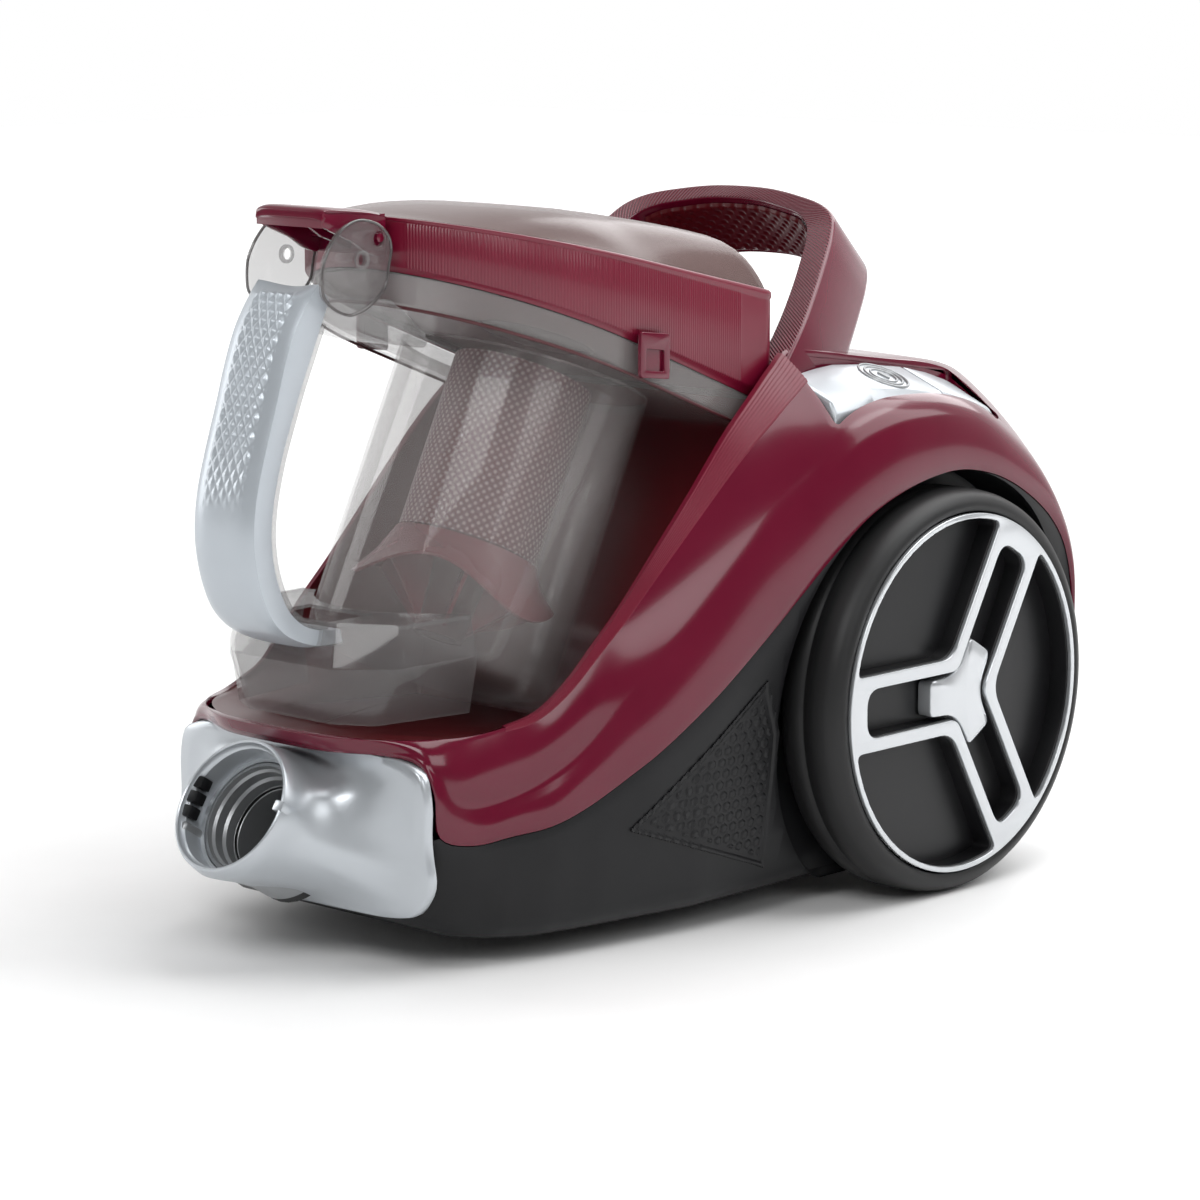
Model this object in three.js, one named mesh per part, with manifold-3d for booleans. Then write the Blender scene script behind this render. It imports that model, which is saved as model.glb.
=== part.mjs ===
// Cylinder vacuum cleaner with a lift-off cyclonic dust bin.
// Millimetres, +Z up. The hose inlet points to -Y (front), +X is the machine's left side.
// The origin is on the floor, under the centre of the machine.

import * as THREE from 'three';
import { mergeVertices } from 'three/addons/utils/BufferGeometryUtils.js';
import { ConvexGeometry } from 'three/addons/geometries/ConvexGeometry.js';
import Module from 'manifold-3d';

const wasm = await Module();
wasm.setup();

// ---------- driving dimensions ----------
const GAP = 0.4;
const WALL = 3;
const FAR = 400;

const AXLE = { y: 123, z: 100 };
const TYRE = { r: 100, rimR: 88.9, inner: 118, outer: 154 };
const TRIM_FACE = 155;
const WHEEL_SIDES = 36;
const AXLE_R = 9;
const ARCH = { r: 108.5, x: 112 };

const MOUTH = { y: -220.9, z: 77, lean: 57.8, r: 32.9, boreR: 27.4 };
const SOCKET = { outer: 27, inner: 21, end: -48 };
const PLATE = { front: -181, back: -172.4 };
const DUCT = { outer: 21.2, inner: 18.6 };

const BIN = { y: -52.7, z: 206.5, lean: -26.3, r: 61, wall: 2.4, bottom: -95, top: 100 };
const LID = { r: 92, y: -45, half: 90, rear: 54, wall: 3, steps: 14 };
const RING_LOW = { z: 262.7, slope: -0.39 };
const RING_HIGH = { z: 309.4, slope: -0.2246 };
const FLANGE_DROP = 15.5;
const MESH_R = 35;

const CASTER = { y: -70, r: 16, width: 15, trail: 9, wellR: 32 };
const PEDAL = { inner: 97.5, outer: 127, front: 54, rear: 139 };
const MOTOR = { x: -44, z: 96, front: 6, length: 150, r: 50 };
const REEL = { x: 58, y: 109, z: 100, r: 76, width: 52 };

// Half sections of the housing: y, then [x, z] at the bottom, skirt, waist, crease and top edge.
const STATIONS = [
  [-172, [[62, 21], [76, 30], [84, 60], [82, 90], [72, 101]]],
  [-152, [[72, 14], [82, 24], [88, 58], [87, 85], [80, 108]]],
  [-117, [[88, 11], [98, 22], [102, 65], [97, 92], [93.5, 115]]],
  [-79, [[96, 11], [106, 22], [113, 81], [109, 114], [99, 147]]],
  [-30, [[104, 11], [114, 22], [126, 115], [121, 159], [100, 196]]],
  [24, [[104, 11], [114, 22], [134, 160], [130, 206], [98, 247]]],
  [58, [[104, 11], [114, 22], [139, 188], [135, 230], [92, 271]]],
  [110, [[104, 11], [114, 22], [142, 206], [138, 239], [90, 263]]],
  [165, [[104, 11], [114, 22], [142, 202], [138, 227], [88, 256]]],
  [205, [[104, 13], [114, 24], [139, 180], [138, 197], [86, 246]]],
  [228, [[100, 24], [112, 36], [138, 155], [138, 168], [84, 220]]],
  [238.5, [[94, 40], [104, 50], [132, 110], [132, 140], [80, 178]]],
];
const INSET_DIRECTIONS = [[-0.3, 1], [-1, 0.3], [-1, 0], [-1, -0.4], [-0.3, -1]];

// The line between the burgundy moulding and the black base, seen from the side: y, z.
const WAIST_LINE = [
  [-200, 62], [-140, 62], [-96, 71.5], [-58, 95], [-29, 116], [1, 140], [40, 174],
  [63, 191], [111, 206.5], [164, 202], [212, 175], [227, 158], [245, 95],
];

// The edge of the open bay that the bin stands in: x, y, z.
const BAY_RIM = [
  [33, -194, 110], [65, -177, 110], [84, -150, 110], [93.5, -117, 115], [100, -54, 172],
  [100, -13, 213], [98, 25, 248], [92, 58, 271],
];

const FINISHES = {
  burgundy: { color: 0x6a1030, roughness: 0.25, metalness: 0 },
  darkRed: { color: 0x3a0a14, roughness: 0.5, metalness: 0 },
  black: { color: 0x18181a, roughness: 0.55, metalness: 0 },
  tyre: { color: 0x141414, roughness: 0.75, metalness: 0 },
  rubber: { color: 0x222222, roughness: 0.8, metalness: 0 },
  silver: { color: 0xb8bfc5, roughness: 0.35, metalness: 0.6 },
  clear: { color: 0xd9dcde, roughness: 0.05, metalness: 0 },
  smoke: { color: 0x6b6057, roughness: 0.08, metalness: 0 },
  rose: { color: 0x8a3a48, roughness: 0.3, metalness: 0 },
  foam: { color: 0x2b2b2e, roughness: 0.95, metalness: 0 },
  paper: { color: 0xe6e3da, roughness: 0.9, metalness: 0 },
  steel: { color: 0xa8abad, roughness: 0.3, metalness: 1 },
  copper: { color: 0xa8633a, roughness: 0.4, metalness: 0.8 },
  board: { color: 0x1f5a35, roughness: 0.5, metalness: 0 },
  white: { color: 0xd8d8d4, roughness: 0.5, metalness: 0 },
};

const vacuum = new THREE.Group();

// ---------- geometry helpers ----------
function solidOf(geometry, matrix = new THREE.Matrix4()) {
  const bare = new THREE.BufferGeometry();
  bare.setAttribute('position', geometry.getAttribute('position').clone());
  if (geometry.index) bare.setIndex(geometry.index.clone());
  bare.applyMatrix4(matrix);
  const merged = mergeVertices(bare, 1e-3);
  const corners = merged.index.array;
  const triVerts = [];
  for (let i = 0; i < corners.length; i += 3) {
    const [a, b, c] = [corners[i], corners[i + 1], corners[i + 2]];
    if (a === b || b === c || a === c) continue;
    triVerts.push(a, b, c);
  }
  const vertProperties = new Float32Array(merged.attributes.position.array);
  if (signedVolume(vertProperties, triVerts) < 0) triVerts.reverse();
  return new wasm.Manifold(new wasm.Mesh({
    numProp: 3, vertProperties, triVerts: new Uint32Array(triVerts),
  }));
}

function signedVolume(points, corners) {
  const [a, b, c] = [new THREE.Vector3(), new THREE.Vector3(), new THREE.Vector3()];
  let volume = 0;
  for (let i = 0; i < corners.length; i += 3) {
    a.fromArray(points, corners[i] * 3);
    b.fromArray(points, corners[i + 1] * 3);
    c.fromArray(points, corners[i + 2] * 3);
    volume += a.dot(b.cross(c)) / 6;
  }
  return volume;
}

function geometryOf(solid) {
  const mesh = solid.getMesh();
  const geometry = new THREE.BufferGeometry();
  geometry.setAttribute('position', new THREE.BufferAttribute(mesh.vertProperties, mesh.numProp));
  geometry.setIndex(new THREE.BufferAttribute(mesh.triVerts, 1));
  geometry.computeVertexNormals();
  return geometry;
}

function mirrored(solid) {
  return solidOf(geometryOf(solid), new THREE.Matrix4().makeScale(-1, 1, 1));
}

function place(x, y, z, degreesAboutX = 0) {
  const turn = new THREE.Matrix4().makeRotationX(THREE.MathUtils.degToRad(degreesAboutX));
  return new THREE.Matrix4().makeTranslation(x, y, z).multiply(turn);
}

function placeAlongX(x, y, z) {
  const turn = new THREE.Matrix4().makeRotationY(Math.PI / 2);
  return new THREE.Matrix4().makeTranslation(x, y, z).multiply(turn);
}

function placeAlongY(x, y, z) {
  return place(x, y, z, -90);
}

const binFrame = place(0, BIN.y, BIN.z, BIN.lean);
const mouthFrame = place(0, MOUTH.y, MOUTH.z, MOUTH.lean);

// A profile of [radius, height] points turned about the local Z axis.
function turned(profile, matrix, segments = 28) {
  const points = profile.map(([r, h]) => new THREE.Vector2(r, h));
  const lathe = new THREE.LatheGeometry(points, segments);
  lathe.rotateX(Math.PI / 2);
  return solidOf(lathe, matrix);
}

function ring(inner, outer, low, high, matrix, segments = 28) {
  const profile = [[inner, low], [outer, low], [outer, high], [inner, high], [inner, low]];
  return turned(profile, matrix, segments);
}

function disc(radius, low, high, matrix, segments = 28) {
  return turned([[0, low], [radius, low], [radius, high], [0, high]], matrix, segments);
}

function shapeOf(points) {
  return new THREE.Shape(points.map(([u, v]) => new THREE.Vector2(u, v)));
}

function slab(shape, depth, matrix) {
  const options = { depth, bevelEnabled: false, curveSegments: 4 };
  return solidOf(new THREE.ExtrudeGeometry(shape, options), matrix);
}

function basis(u, v, w, origin) {
  const matrix = new THREE.Matrix4();
  matrix.makeBasis(new THREE.Vector3(...u), new THREE.Vector3(...v), new THREE.Vector3(...w));
  return matrix.setPosition(...origin);
}

// Outline of [x, y] points, extruded up from low to high.
function slabZ(points, low, high) {
  return slab(shapeOf(points), high - low, new THREE.Matrix4().makeTranslation(0, 0, low));
}

// Outline of [y, z] points, extruded across from low to high.
function slabX(points, low, high) {
  const matrix = basis([0, 1, 0], [0, 0, 1], [1, 0, 0], [low, 0, 0]);
  return slab(shapeOf(points), high - low, matrix);
}

// Outline of [x, z] points, extruded back from low to high.
function slabY(points, low, high) {
  const matrix = basis([1, 0, 0], [0, 0, 1], [0, -1, 0], [0, high, 0]);
  return slab(shapeOf(points), high - low, matrix);
}

function box(x0, x1, y0, y1, z0, z1) {
  const geometry = new THREE.BoxGeometry(x1 - x0, y1 - y0, z1 - z0);
  const centre = place((x0 + x1) / 2, (y0 + y1) / 2, (z0 + z1) / 2);
  return solidOf(geometry, centre);
}

function hull(points) {
  return solidOf(new ConvexGeometry(points.map((point) => new THREE.Vector3(...point))));
}

// Four-cornered sections joined in order into one solid.
function swept(sections) {
  const geometry = new THREE.BufferGeometry();
  geometry.setAttribute('position', new THREE.Float32BufferAttribute(sections.flat(2), 3));
  const last = (sections.length - 1) * 4;
  const corners = [0, 2, 1, 0, 3, 2, last, last + 1, last + 2, last, last + 2, last + 3];
  for (let row = 0; row < last; row += 4) {
    for (let side = 0; side < 4; side += 1) {
      const [a, b] = [row + side, row + (side + 1) % 4];
      corners.push(a, b, b + 4, a, b + 4, a + 4);
    }
  }
  geometry.setIndex(corners);
  return solidOf(geometry);
}

function bothSides(points) {
  return points.flatMap(([x, y, z]) => [[x, y, z], [-x, y, z]]);
}

function joined(solids) {
  return solids.reduce((sum, solid) => sum.add(solid));
}

function add(name, finish, solid) {
  const mesh = new THREE.Mesh(geometryOf(solid), new THREE.MeshStandardMaterial(FINISHES[finish]));
  mesh.name = name;
  vacuum.add(mesh);
}

// ---------- housing ----------
function sectionPoints([y, half], inset) {
  return half.flatMap(([x, z], i) => {
    const [dx, dz] = INSET_DIRECTIONS[i];
    const [px, pz] = [x + dx * inset, z + dz * inset];
    return [[px, y, pz], [-px, y, pz]];
  });
}

function envelope(inset) {
  const last = STATIONS.length - 1;
  const stations = STATIONS.map(([y, half], i) => {
    const shift = i === 0 ? inset : i === last ? -inset : 0;
    return sectionPoints([y + shift, half], inset);
  });
  const links = stations.slice(1).map((section, i) => hull([...stations[i], ...section]));
  return joined(links);
}

function wheelArches(grow) {
  const start = ARCH.x - grow;
  const arch = disc(ARCH.r + grow, start, FAR, placeAlongX(0, AXLE.y, AXLE.z), WHEEL_SIDES);
  return arch.add(mirrored(arch));
}

const outside = envelope(0).subtract(wheelArches(0));
const inside = envelope(WALL).subtract(wheelArches(WALL));
const clearOfHousing = envelope(-GAP);

function belowWaist(shift) {
  const line = WAIST_LINE.map(([y, z]) => [y, z + shift]);
  return slabX([[-245, -20], [-245, WAIST_LINE[0][1] + shift], ...line, [245, -20]], -FAR, FAR);
}

function bay(grow) {
  const floor = [[38, -170, 102], [60, -150, 96], [68, -100, 90], [68, -34, 86]];
  const rear = [[92, 58, 236]];
  const rim = BAY_RIM;
  const above = BAY_RIM.map(([x, y]) => [x, y, 330]);
  const spread = (points, down) => points.map(([x, y, z]) => {
    const back = y > -60 ? grow : -grow;
    return [x + grow, y + back, z - down];
  });
  return hull(bothSides([
    ...spread(floor, grow), ...spread(rear, grow), ...spread(rim, 0), ...spread(above, 0),
  ]));
}

const bayHollow = bay(0);
const bayWall = bay(WALL);
const hoseBore = disc(MOUTH.boreR, -75, 20, mouthFrame, 28);

function frontLip() {
  const edge = [[33, -196], [66, -178], [86, -151], [86, -140]];
  const plan = [...edge, ...edge.map(([x, y]) => [-x, y]).reverse()];
  return slabZ(plan, 102.2, 110);
}

function exhaustHole(grow) {
  return box(-54 - grow, 54 + grow, 200, 260, 66 - grow, 150 + grow);
}

function airPort(grow) {
  return box(-30 - grow, 30 + grow, 40, 78, 247 - grow, 258 + grow);
}

function pedalPocket() {
  const low = [[95, 53, 226], [95, 181, 226], [129, 53, 226], [129, 181, 221]];
  return hull([...low, ...low.map(([x, y]) => [x, y, 275])]);
}

function upperShell() {
  const pockets = pedalPocket();
  const pocketFloor = hull([
    [92, 50, 223], [92, 184, 223], [131.5, 50, 221], [131.5, 184, 217],
    [92, 50, 275], [92, 184, 275], [131.5, 50, 275], [131.5, 184, 275],
  ]);
  const floors = pocketFloor.add(mirrored(pocketFloor)).intersect(outside);
  return outside
    .subtract(inside)
    .add(floors)
    .add(frontLip())
    .subtract(pockets)
    .subtract(mirrored(pockets))
    .subtract(belowWaist(GAP / 2))
    .subtract(bay(WALL + GAP))
    .subtract(hoseBore)
    .subtract(snout(GAP + 0.2))
    .subtract(exhaustHole(GAP));
}

function basePan() {
  const well = disc(CASTER.wellR + WALL, 11, 52, place(0, CASTER.y, 0)).intersect(outside);
  const wellHollow = disc(CASTER.wellR, -10, 46, place(0, CASTER.y, 0));
  return outside
    .subtract(inside)
    .add(well)
    .subtract(wellHollow)
    .intersect(belowWaist(-GAP / 2))
    .subtract(hoseBore)
    .subtract(exhaustHole(GAP));
}

function binCradle() {
  const port = disc(21.4, 60, 130, place(0, -130, 0), 28);
  return bayWall
    .subtract(bayHollow)
    .intersect(envelope(WALL + GAP))
    .subtract(port)
    .subtract(airPort(0));
}

function railTrim() {
  const rows = BAY_RIM.slice(3).map(([x, y, z], i) => [x, y, z, [3, 8, 13, 17, 20][i]]);
  const sections = rows.map(([x, y, z, width]) => {
    const [inner, outer] = [x + WALL + GAP + 0.6, x + width + 3.6];
    const fall = 0.42 * (outer - x);
    const rise = 1.4;
    return [
      [inner, y, z + rise], [outer, y, z - fall + rise + 1.8],
      [inner, y, z + rise + 1.6], [outer, y, z - fall + rise + 3.4],
    ];
  });
  const links = sections.slice(1).map((section, i) => hull([...sections[i], ...section]));
  return joined(links).subtract(clearOfHousing).subtract(bay(WALL));
}

function sidePanel() {
  const face = [[-70, 30], [-30, 96], [4, 118], [12, 60], [0, 30]];
  const skin = envelope(-GAP - 1.6).subtract(clearOfHousing);
  return slabX(face, 60, FAR).intersect(skin);
}

// ---------- carry handle ----------
const HANDLE_UP = [0, 0.717, 0.697];
const HANDLE_OUT = [0, -0.697, 0.717];
const HANDLE_FOOT = [0, 60, 271];

function handlePoint(x, up, out) {
  const [y, z] = [1, 2].map((k) => HANDLE_FOOT[k] + HANDLE_UP[k] * up + HANDLE_OUT[k] * out);
  return [x, y, z];
}

function carryHandle() {
  const depth = 42;
  const outer = [
    [97, -29], [93.6, 12], [88.2, 34], [81.6, 56], [76.2, 72], [69.6, 83.5], [58, 91], [40, 96],
    [19, 99.5], [0, 100.4],
  ];
  const inner = [
    [81, -31], [77.4, 13], [72.4, 35], [66.4, 54], [61.4, 68], [55.4, 77.5], [46, 83.5], [32, 87.2],
    [15, 90.3], [0, 91],
  ];
  // The front and back faces bow slightly towards the top of the loop.
  const half = outer.map(([x, up], i) => {
    const [innerX, innerUp] = inner[i];
    const bow = 1.5 * (1 - (up / 100) ** 2);
    return [
      handlePoint(x, up, -bow), handlePoint(innerX, innerUp, -bow),
      handlePoint(innerX, innerUp, bow - depth), handlePoint(x, up, bow - depth),
    ];
  });
  const other = half.slice(0, -1).reverse().map((section) => section.map(([x, y, z]) => [-x, y, z]));
  return swept([...half, ...other])
    .subtract(clearOfHousing)
    .subtract(box(-FAR, FAR, -FAR, 75, 0, 262));
}

function handleGrip() {
  const outer = [[44, 82], [44, 82.8], [24, 88.6], [0, 90.6]];
  const inner = [[44, 80.5], [24, 85.6], [0, 87.6]];
  const top = [...outer, ...outer.slice(0, -1).reverse().map(([x, v]) => [-x, v])];
  const under = [...inner.map(([x, v]) => [-x, v]), ...inner.slice(0, -1).reverse()];
  const shape = shapeOf([...top, ...under.slice(1)]);
  const low = -38;
  const matrix = basis([1, 0, 0], HANDLE_UP, HANDLE_OUT, handlePoint(0, 0, low));
  return slab(shape, 34, matrix);
}

// ---------- hose inlet ----------
function snout(grow) {
  const rim = [];
  const base = [];
  for (let i = 0; i < 32; i += 1) {
    const turn = (i / 32) * 2 * Math.PI;
    const r = MOUTH.r + grow;
    const edge = new THREE.Vector3(r * Math.cos(turn), r * Math.sin(turn), 0);
    rim.push(edge.applyMatrix4(mouthFrame).toArray());
    base.push([
      (54 + grow) * Math.cos(turn), PLATE.front + 2, 63.5 + (36 + grow) * Math.sin(turn),
    ]);
  }
  return hull([...rim, ...base]);
}

function inletCover() {
  const half = [[60, 26], [78, 30], [87, 43], [82.5, 62], [83.5, 82], [80, 97], [67, 101]];
  const outline = [...half, ...half.map(([x, z]) => [-x, z]).reverse()];
  return slabY(outline, PLATE.front, PLATE.back).add(snout(0)).subtract(hoseBore);
}

function inletSocket() {
  const { outer, inner, end } = SOCKET;
  const profile = [
    [inner, end], [outer, end], [outer, -3], [24.5, -3], [24.5, -14], [23, -16], [23, -22],
    [inner, -24], [inner, end],
  ];
  return turned(profile, mouthFrame);
}

function inletDuct() {
  const section = new THREE.Shape();
  section.absarc(0, 0, DUCT.outer, 0, 2 * Math.PI);
  const bore = new THREE.Path();
  bore.absarc(0, 0, DUCT.inner, 0, 2 * Math.PI, true);
  section.holes.push(bore);
  const route = new THREE.CatmullRomCurve3([
    [0, -175, 48.1], [0, -166, 45.4], [0, -153, 45], [0, -140, 50], [0, -132, 62], [0, -130, 86],
  ].map((point) => new THREE.Vector3(...point)));
  const options = { steps: 10, curveSegments: 8, extrudePath: route };
  const tube = solidOf(new THREE.ExtrudeGeometry(section, options));
  return tube.subtract(bay(WALL + GAP)).subtract(disc(40, -53.6, 40, mouthFrame));
}

// ---------- wheels ----------
function spokeBars(low, high) {
  const matrix = basis([0, 1, 0], [0, 0, 1], [1, 0, 0], [low, AXLE.y, AXLE.z]);
  const bars = [180, 60, -60].map((degrees) => {
    const turn = new THREE.Matrix4().makeRotationZ(THREE.MathUtils.degToRad(degrees));
    const outer = [[0, -18.5], [84, -18.5], [84, 18.5], [0, 18.5]];
    const slot = new THREE.Shape();
    slot.moveTo(-14, -12);
    slot.lineTo(66, -12);
    slot.quadraticCurveTo(76, -12, 76, 0);
    slot.quadraticCurveTo(76, 12, 66, 12);
    slot.lineTo(-14, 12);
    const place3 = matrix.clone().multiply(turn);
    return {
      bar: slab(shapeOf(outer), high - low, place3),
      slot: slab(slot, FAR, place3.clone().multiply(place(0, 0, -5))),
    };
  });
  return joined(bars.map(({ bar }) => bar)).subtract(joined(bars.map(({ slot }) => slot)));
}

const axleLine = placeAlongX(0, AXLE.y, AXLE.z);

function tyre() {
  const { r, rimR, inner, outer } = TYRE;
  const seat = rimR + GAP;
  const profile = [
    [seat, inner], [r - 5, inner], [r - 1, inner + 4], [r, inner + 10], [r, outer - 10],
    [r - 1.5, outer - 4], [r - 5, outer - 0.8], [rimR + 2.4, outer], [seat, outer - 1.5],
    [seat, inner],
  ];
  return turned(profile, axleLine, WHEEL_SIDES);
}

function wheelDisc() {
  const face = TRIM_FACE - 2.9;
  const profile = [
    [AXLE_R + GAP, 118], [20, 118], [20, 138], [82, 138], [82, 120], [TYRE.rimR, 120],
    [TYRE.rimR, face], [84.5, face], [84.5, 142], [20, 142], [20, 145], [AXLE_R + GAP, 145],
    [AXLE_R + GAP, 118],
  ];
  return turned(profile, axleLine, WHEEL_SIDES).add(spokeBars(141, face));
}

function wheelTrim() {
  const low = TRIM_FACE - 2.5;
  const band = ring(86, TYRE.rimR - 0.3, low, TRIM_FACE, axleLine, WHEEL_SIDES);
  return band.add(spokeBars(low, TRIM_FACE));
}

function hubCap() {
  const lobes = [180, 60, -60].map((degrees) => {
    const turn = new THREE.Matrix4().makeRotationZ(THREE.MathUtils.degToRad(degrees));
    const matrix = basis([0, 1, 0], [0, 0, 1], [1, 0, 0], [145.5, AXLE.y, AXLE.z]);
    return slab(shapeOf([[-4, -9], [10, -11], [25, -8.5], [25, 8.5], [10, 11], [-4, 9]]), 8.5,
      matrix.multiply(turn));
  });
  return joined(lobes);
}

function axleStub() {
  return turned([[0, 112.4], [16, 112.4], [16, 115], [AXLE_R, 115], [AXLE_R, 142], [0, 142]],
    axleLine, 28);
}

// ---------- caster ----------
function casterFork() {
  const { y, r, width, trail } = CASTER;
  const half = width / 2 + 1;
  const axle = y + trail;
  const cheek = slabX([[y - 8, 38], [y + 8, 38], [axle + 6, r], [axle, r - 6], [axle - 6, r]],
    half, half + 2.5);
  const crown = box(-half - 2.5, half + 2.5, y - 10, y + 12, 36, 40);
  const stem = disc(6, 39, 45.4, place(0, y, 0), 20);
  const bore = disc(2.4, -30, 30, placeAlongX(0, axle, r), 16);
  return joined([cheek, mirrored(cheek), crown, stem]).subtract(bore);
}

function casterWheel() {
  const { y, r, width, trail } = CASTER;
  const half = width / 2;
  const profile = [
    [2.5, -half], [r - 3, -half], [r, 2.5 - half], [r, half - 2.5], [r - 3, half], [2.5, half],
    [2.5, -half],
  ];
  return turned(profile, placeAlongX(0, y + trail, r), 28);
}

function casterPin() {
  return disc(2, -11, 11, placeAlongX(0, CASTER.y + CASTER.trail, CASTER.r), 14);
}

// ---------- pedals ----------
function pedalBody() {
  const { front, rear } = PEDAL;
  const side = [[front, 233], [front, 244], [87, 254], [rear, 249.5], [rear, 238], [front + 4, 233]];
  const plan = [[97.5, 54], [127, 54], [127, 139], [97.5, 139]];
  const outward = hull([
    [97.5, 54, 234], [127, 54, 231], [97.5, 139, 240], [127, 139, 234],
    [97.5, 54, 247], [127, 54, 236], [97.5, 87, 256], [124, 87, 246], [97.5, 139, 251],
    [125, 139, 243],
  ]);
  return slabX(side, PEDAL.inner, PEDAL.outer).intersect(outward).intersect(slabZ(plan, 0, FAR));
}

function pedalTail() {
  return hull([
    [97.5, 140, 232], [127, 140, 230], [97.5, 178, 228], [126, 178, 226],
    [97.5, 140, 251], [125, 140, 243], [97.5, 178, 238], [124, 178, 233],
  ]);
}

function pedalSpring() {
  return ring(3.6, 5, 226.4, 232.6, place(112, 70, 0), 12);
}

// ---------- dust bin ----------
function lidPlan(inset) {
  const { r, y, half, rear } = LID;
  const points = [[half - inset, rear - inset]];
  for (let i = 0; i <= LID.steps; i += 1) {
    const turn = -(i / LID.steps) * Math.PI;
    points.push([(r - inset) * Math.cos(turn), y + (r - inset) * Math.sin(turn)]);
  }
  points.push([inset - half, rear - inset]);
  return points;
}

function underPlane({ z, slope }, shift) {
  const edge = (y) => [y, z + slope * y + shift];
  return slabX([[-260, 0], [200, 0], edge(200), edge(-260)], -FAR, FAR);
}

function band(low, lowShift, high, highShift) {
  return underPlane(high, highShift).subtract(underPlane(low, lowShift));
}

function lidBand(inset, low, lowShift, high, highShift) {
  return slabZ(lidPlan(inset), 150, FAR).intersect(band(low, lowShift, high, highShift));
}

function binTub() {
  const { r, wall, bottom, top } = BIN;
  const cup = turned([
    [0, bottom], [r - 6, bottom], [r, bottom + 6], [r, top], [r - wall, top],
    [r - wall, bottom + 8], [r - 8, bottom + wall], [0, bottom + wall],
  ], binFrame);
  const flange = lidBand(2, RING_LOW, -FLANGE_DROP, RING_LOW, -GAP - 2)
    .subtract(lidBand(4.4, RING_LOW, 1.4 - FLANGE_DROP, RING_LOW, 5))
    .subtract(disc(r - wall / 2, 0, 100, binFrame));
  const intake = disc(15, 0, 100, place(0, -100, 128, 90), 24);
  return cup.intersect(underPlane(RING_LOW, -FLANGE_DROP + 3)).add(flange).subtract(intake);
}

function binFoot() {
  const wall = 2.4;
  const shell = (t) => hull(bothSides([
    [46 - t, -176 + t, 112], [28 - t, -184 + t, 112], [60 - t, -168 + t, 138],
    [34 - t, -190 + t, 140], [54 - t, -166 + t, 158], [26 - t, -180 + t, 160],
    [56 - t, -112, 112], [62 - t, -104, 140], [56 - t, -118, 160],
  ]));
  const base = box(-FAR, FAR, -FAR, FAR, 100, 112.4);
  return shell(0)
    .subtract(shell(wall).subtract(base))
    .subtract(box(-FAR, FAR, -121, FAR, 0, FAR))
    .subtract(disc(BIN.r + GAP, -120, 120, binFrame))
    .subtract(box(-22, 22, -300, -150, 130, 200));
}

function binHandle() {
  const outer = [
    [-183, 314], [-198, 295], [-209, 263], [-217, 241], [-224, 215], [-225, 197], [-220, 173],
    [-211, 159], [-196, 149], [-181, 143.5], [-151, 143.5],
  ];
  const inner = [
    [-151, 152], [-180, 153], [-190, 158], [-203, 178], [-210, 199], [-208, 215], [-200, 243],
    [-190, 265], [-178, 291], [-172, 304],
  ];
  return slabX([...outer, ...inner], -20, 20);
}

function binBracket() {
  const ear = [
    [-170, 305], [-178, 322], [-176, 338], [-166, 345], [-152, 345], [-141, 337], [-139, 318],
    [-139, 301], [-150, 296],
  ];
  const pinHole = disc(2.6, -60, 60, placeAlongX(0, -146, 331), 16);
  const ears = slabX(ear, 22.4, 25).add(slabX(ear, -25, -22.4)).subtract(pinHole);
  const shelf = [[-166, 298], [-164, 306], [-139, 303], [-118, 289], [-120, 285], [-140, 290]];
  return ears.add(slabX(shelf, -25, 25))
    .subtract(lidBand(-0.8, RING_LOW, -FLANGE_DROP - 0.6, RING_HIGH, 60));
}

function handleLiner() {
  const strip = [
    [-174.9, 296], [-177.4, 291], [-189.4, 265.4], [-199.4, 243.4], [-207.4, 215.4],
    [-209.4, 199.6], [-202.4, 178.6], [-189.6, 158.9], [-180, 154],
    [-180, 156.6], [-187, 161], [-199.5, 180], [-206.5, 200], [-204.5, 215],
    [-196.5, 242.5], [-186.5, 264.5], [-174.5, 290], [-171.7, 296],
  ];
  return slabX(strip, -18, 18);
}

function releaseLever() {
  const side = [
    [-141, 342], [-175, 346.5], [-179, 343], [-178, 338], [-160, 334], [-150, 327.5],
    [-142.5, 327.5],
  ];
  const body = slabX(side, -21.5, 21.5);
  const pin = disc(2.2, -24.6, 24.6, placeAlongX(0, -146, 331), 16);
  const hollow = box(-18, 18, -176, -151, 330, 340.5);
  return body.subtract(hollow).add(pin);
}

function lidRing() {
  return lidBand(0, RING_LOW, 0, RING_HIGH, 0)
    .subtract(lidBand(LID.wall, RING_LOW, -1, RING_HIGH, 1))
    .subtract(airPort(0));
}

function lidDome() {
  const level = (inset, rise, tilt) => lidPlan(inset).map(([x, y]) => [
    x, y, RING_HIGH.z + RING_HIGH.slope * (LID.y + (y - LID.y) * tilt) + rise,
  ]);
  const outer = hull([...level(3.5, GAP, 1), ...level(14, 7, 0.8), ...level(40, 14, 0.5)]);
  const inner = hull([...level(6, -6, 1), ...level(16, 4.5, 0.8), ...level(41, 11.5, 0.5)]);
  return outer.subtract(inner);
}

function lidFloor() {
  const plate = lidBand(LID.wall + GAP, RING_LOW, 4, RING_LOW, 7);
  return plate.subtract(disc(MESH_R - 6, 0, 120, binFrame));
}

function binSeal() {
  return lidBand(5, RING_LOW, GAP, RING_LOW, 3.2).subtract(lidBand(9, RING_LOW, -10, RING_LOW, 30));
}

function separatorMesh() {
  const low = -32;
  const tube = ring(MESH_R - 1.6, MESH_R, low, 110, binFrame);
  return tube.intersect(underPlane(RING_LOW, 3.6));
}

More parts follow.
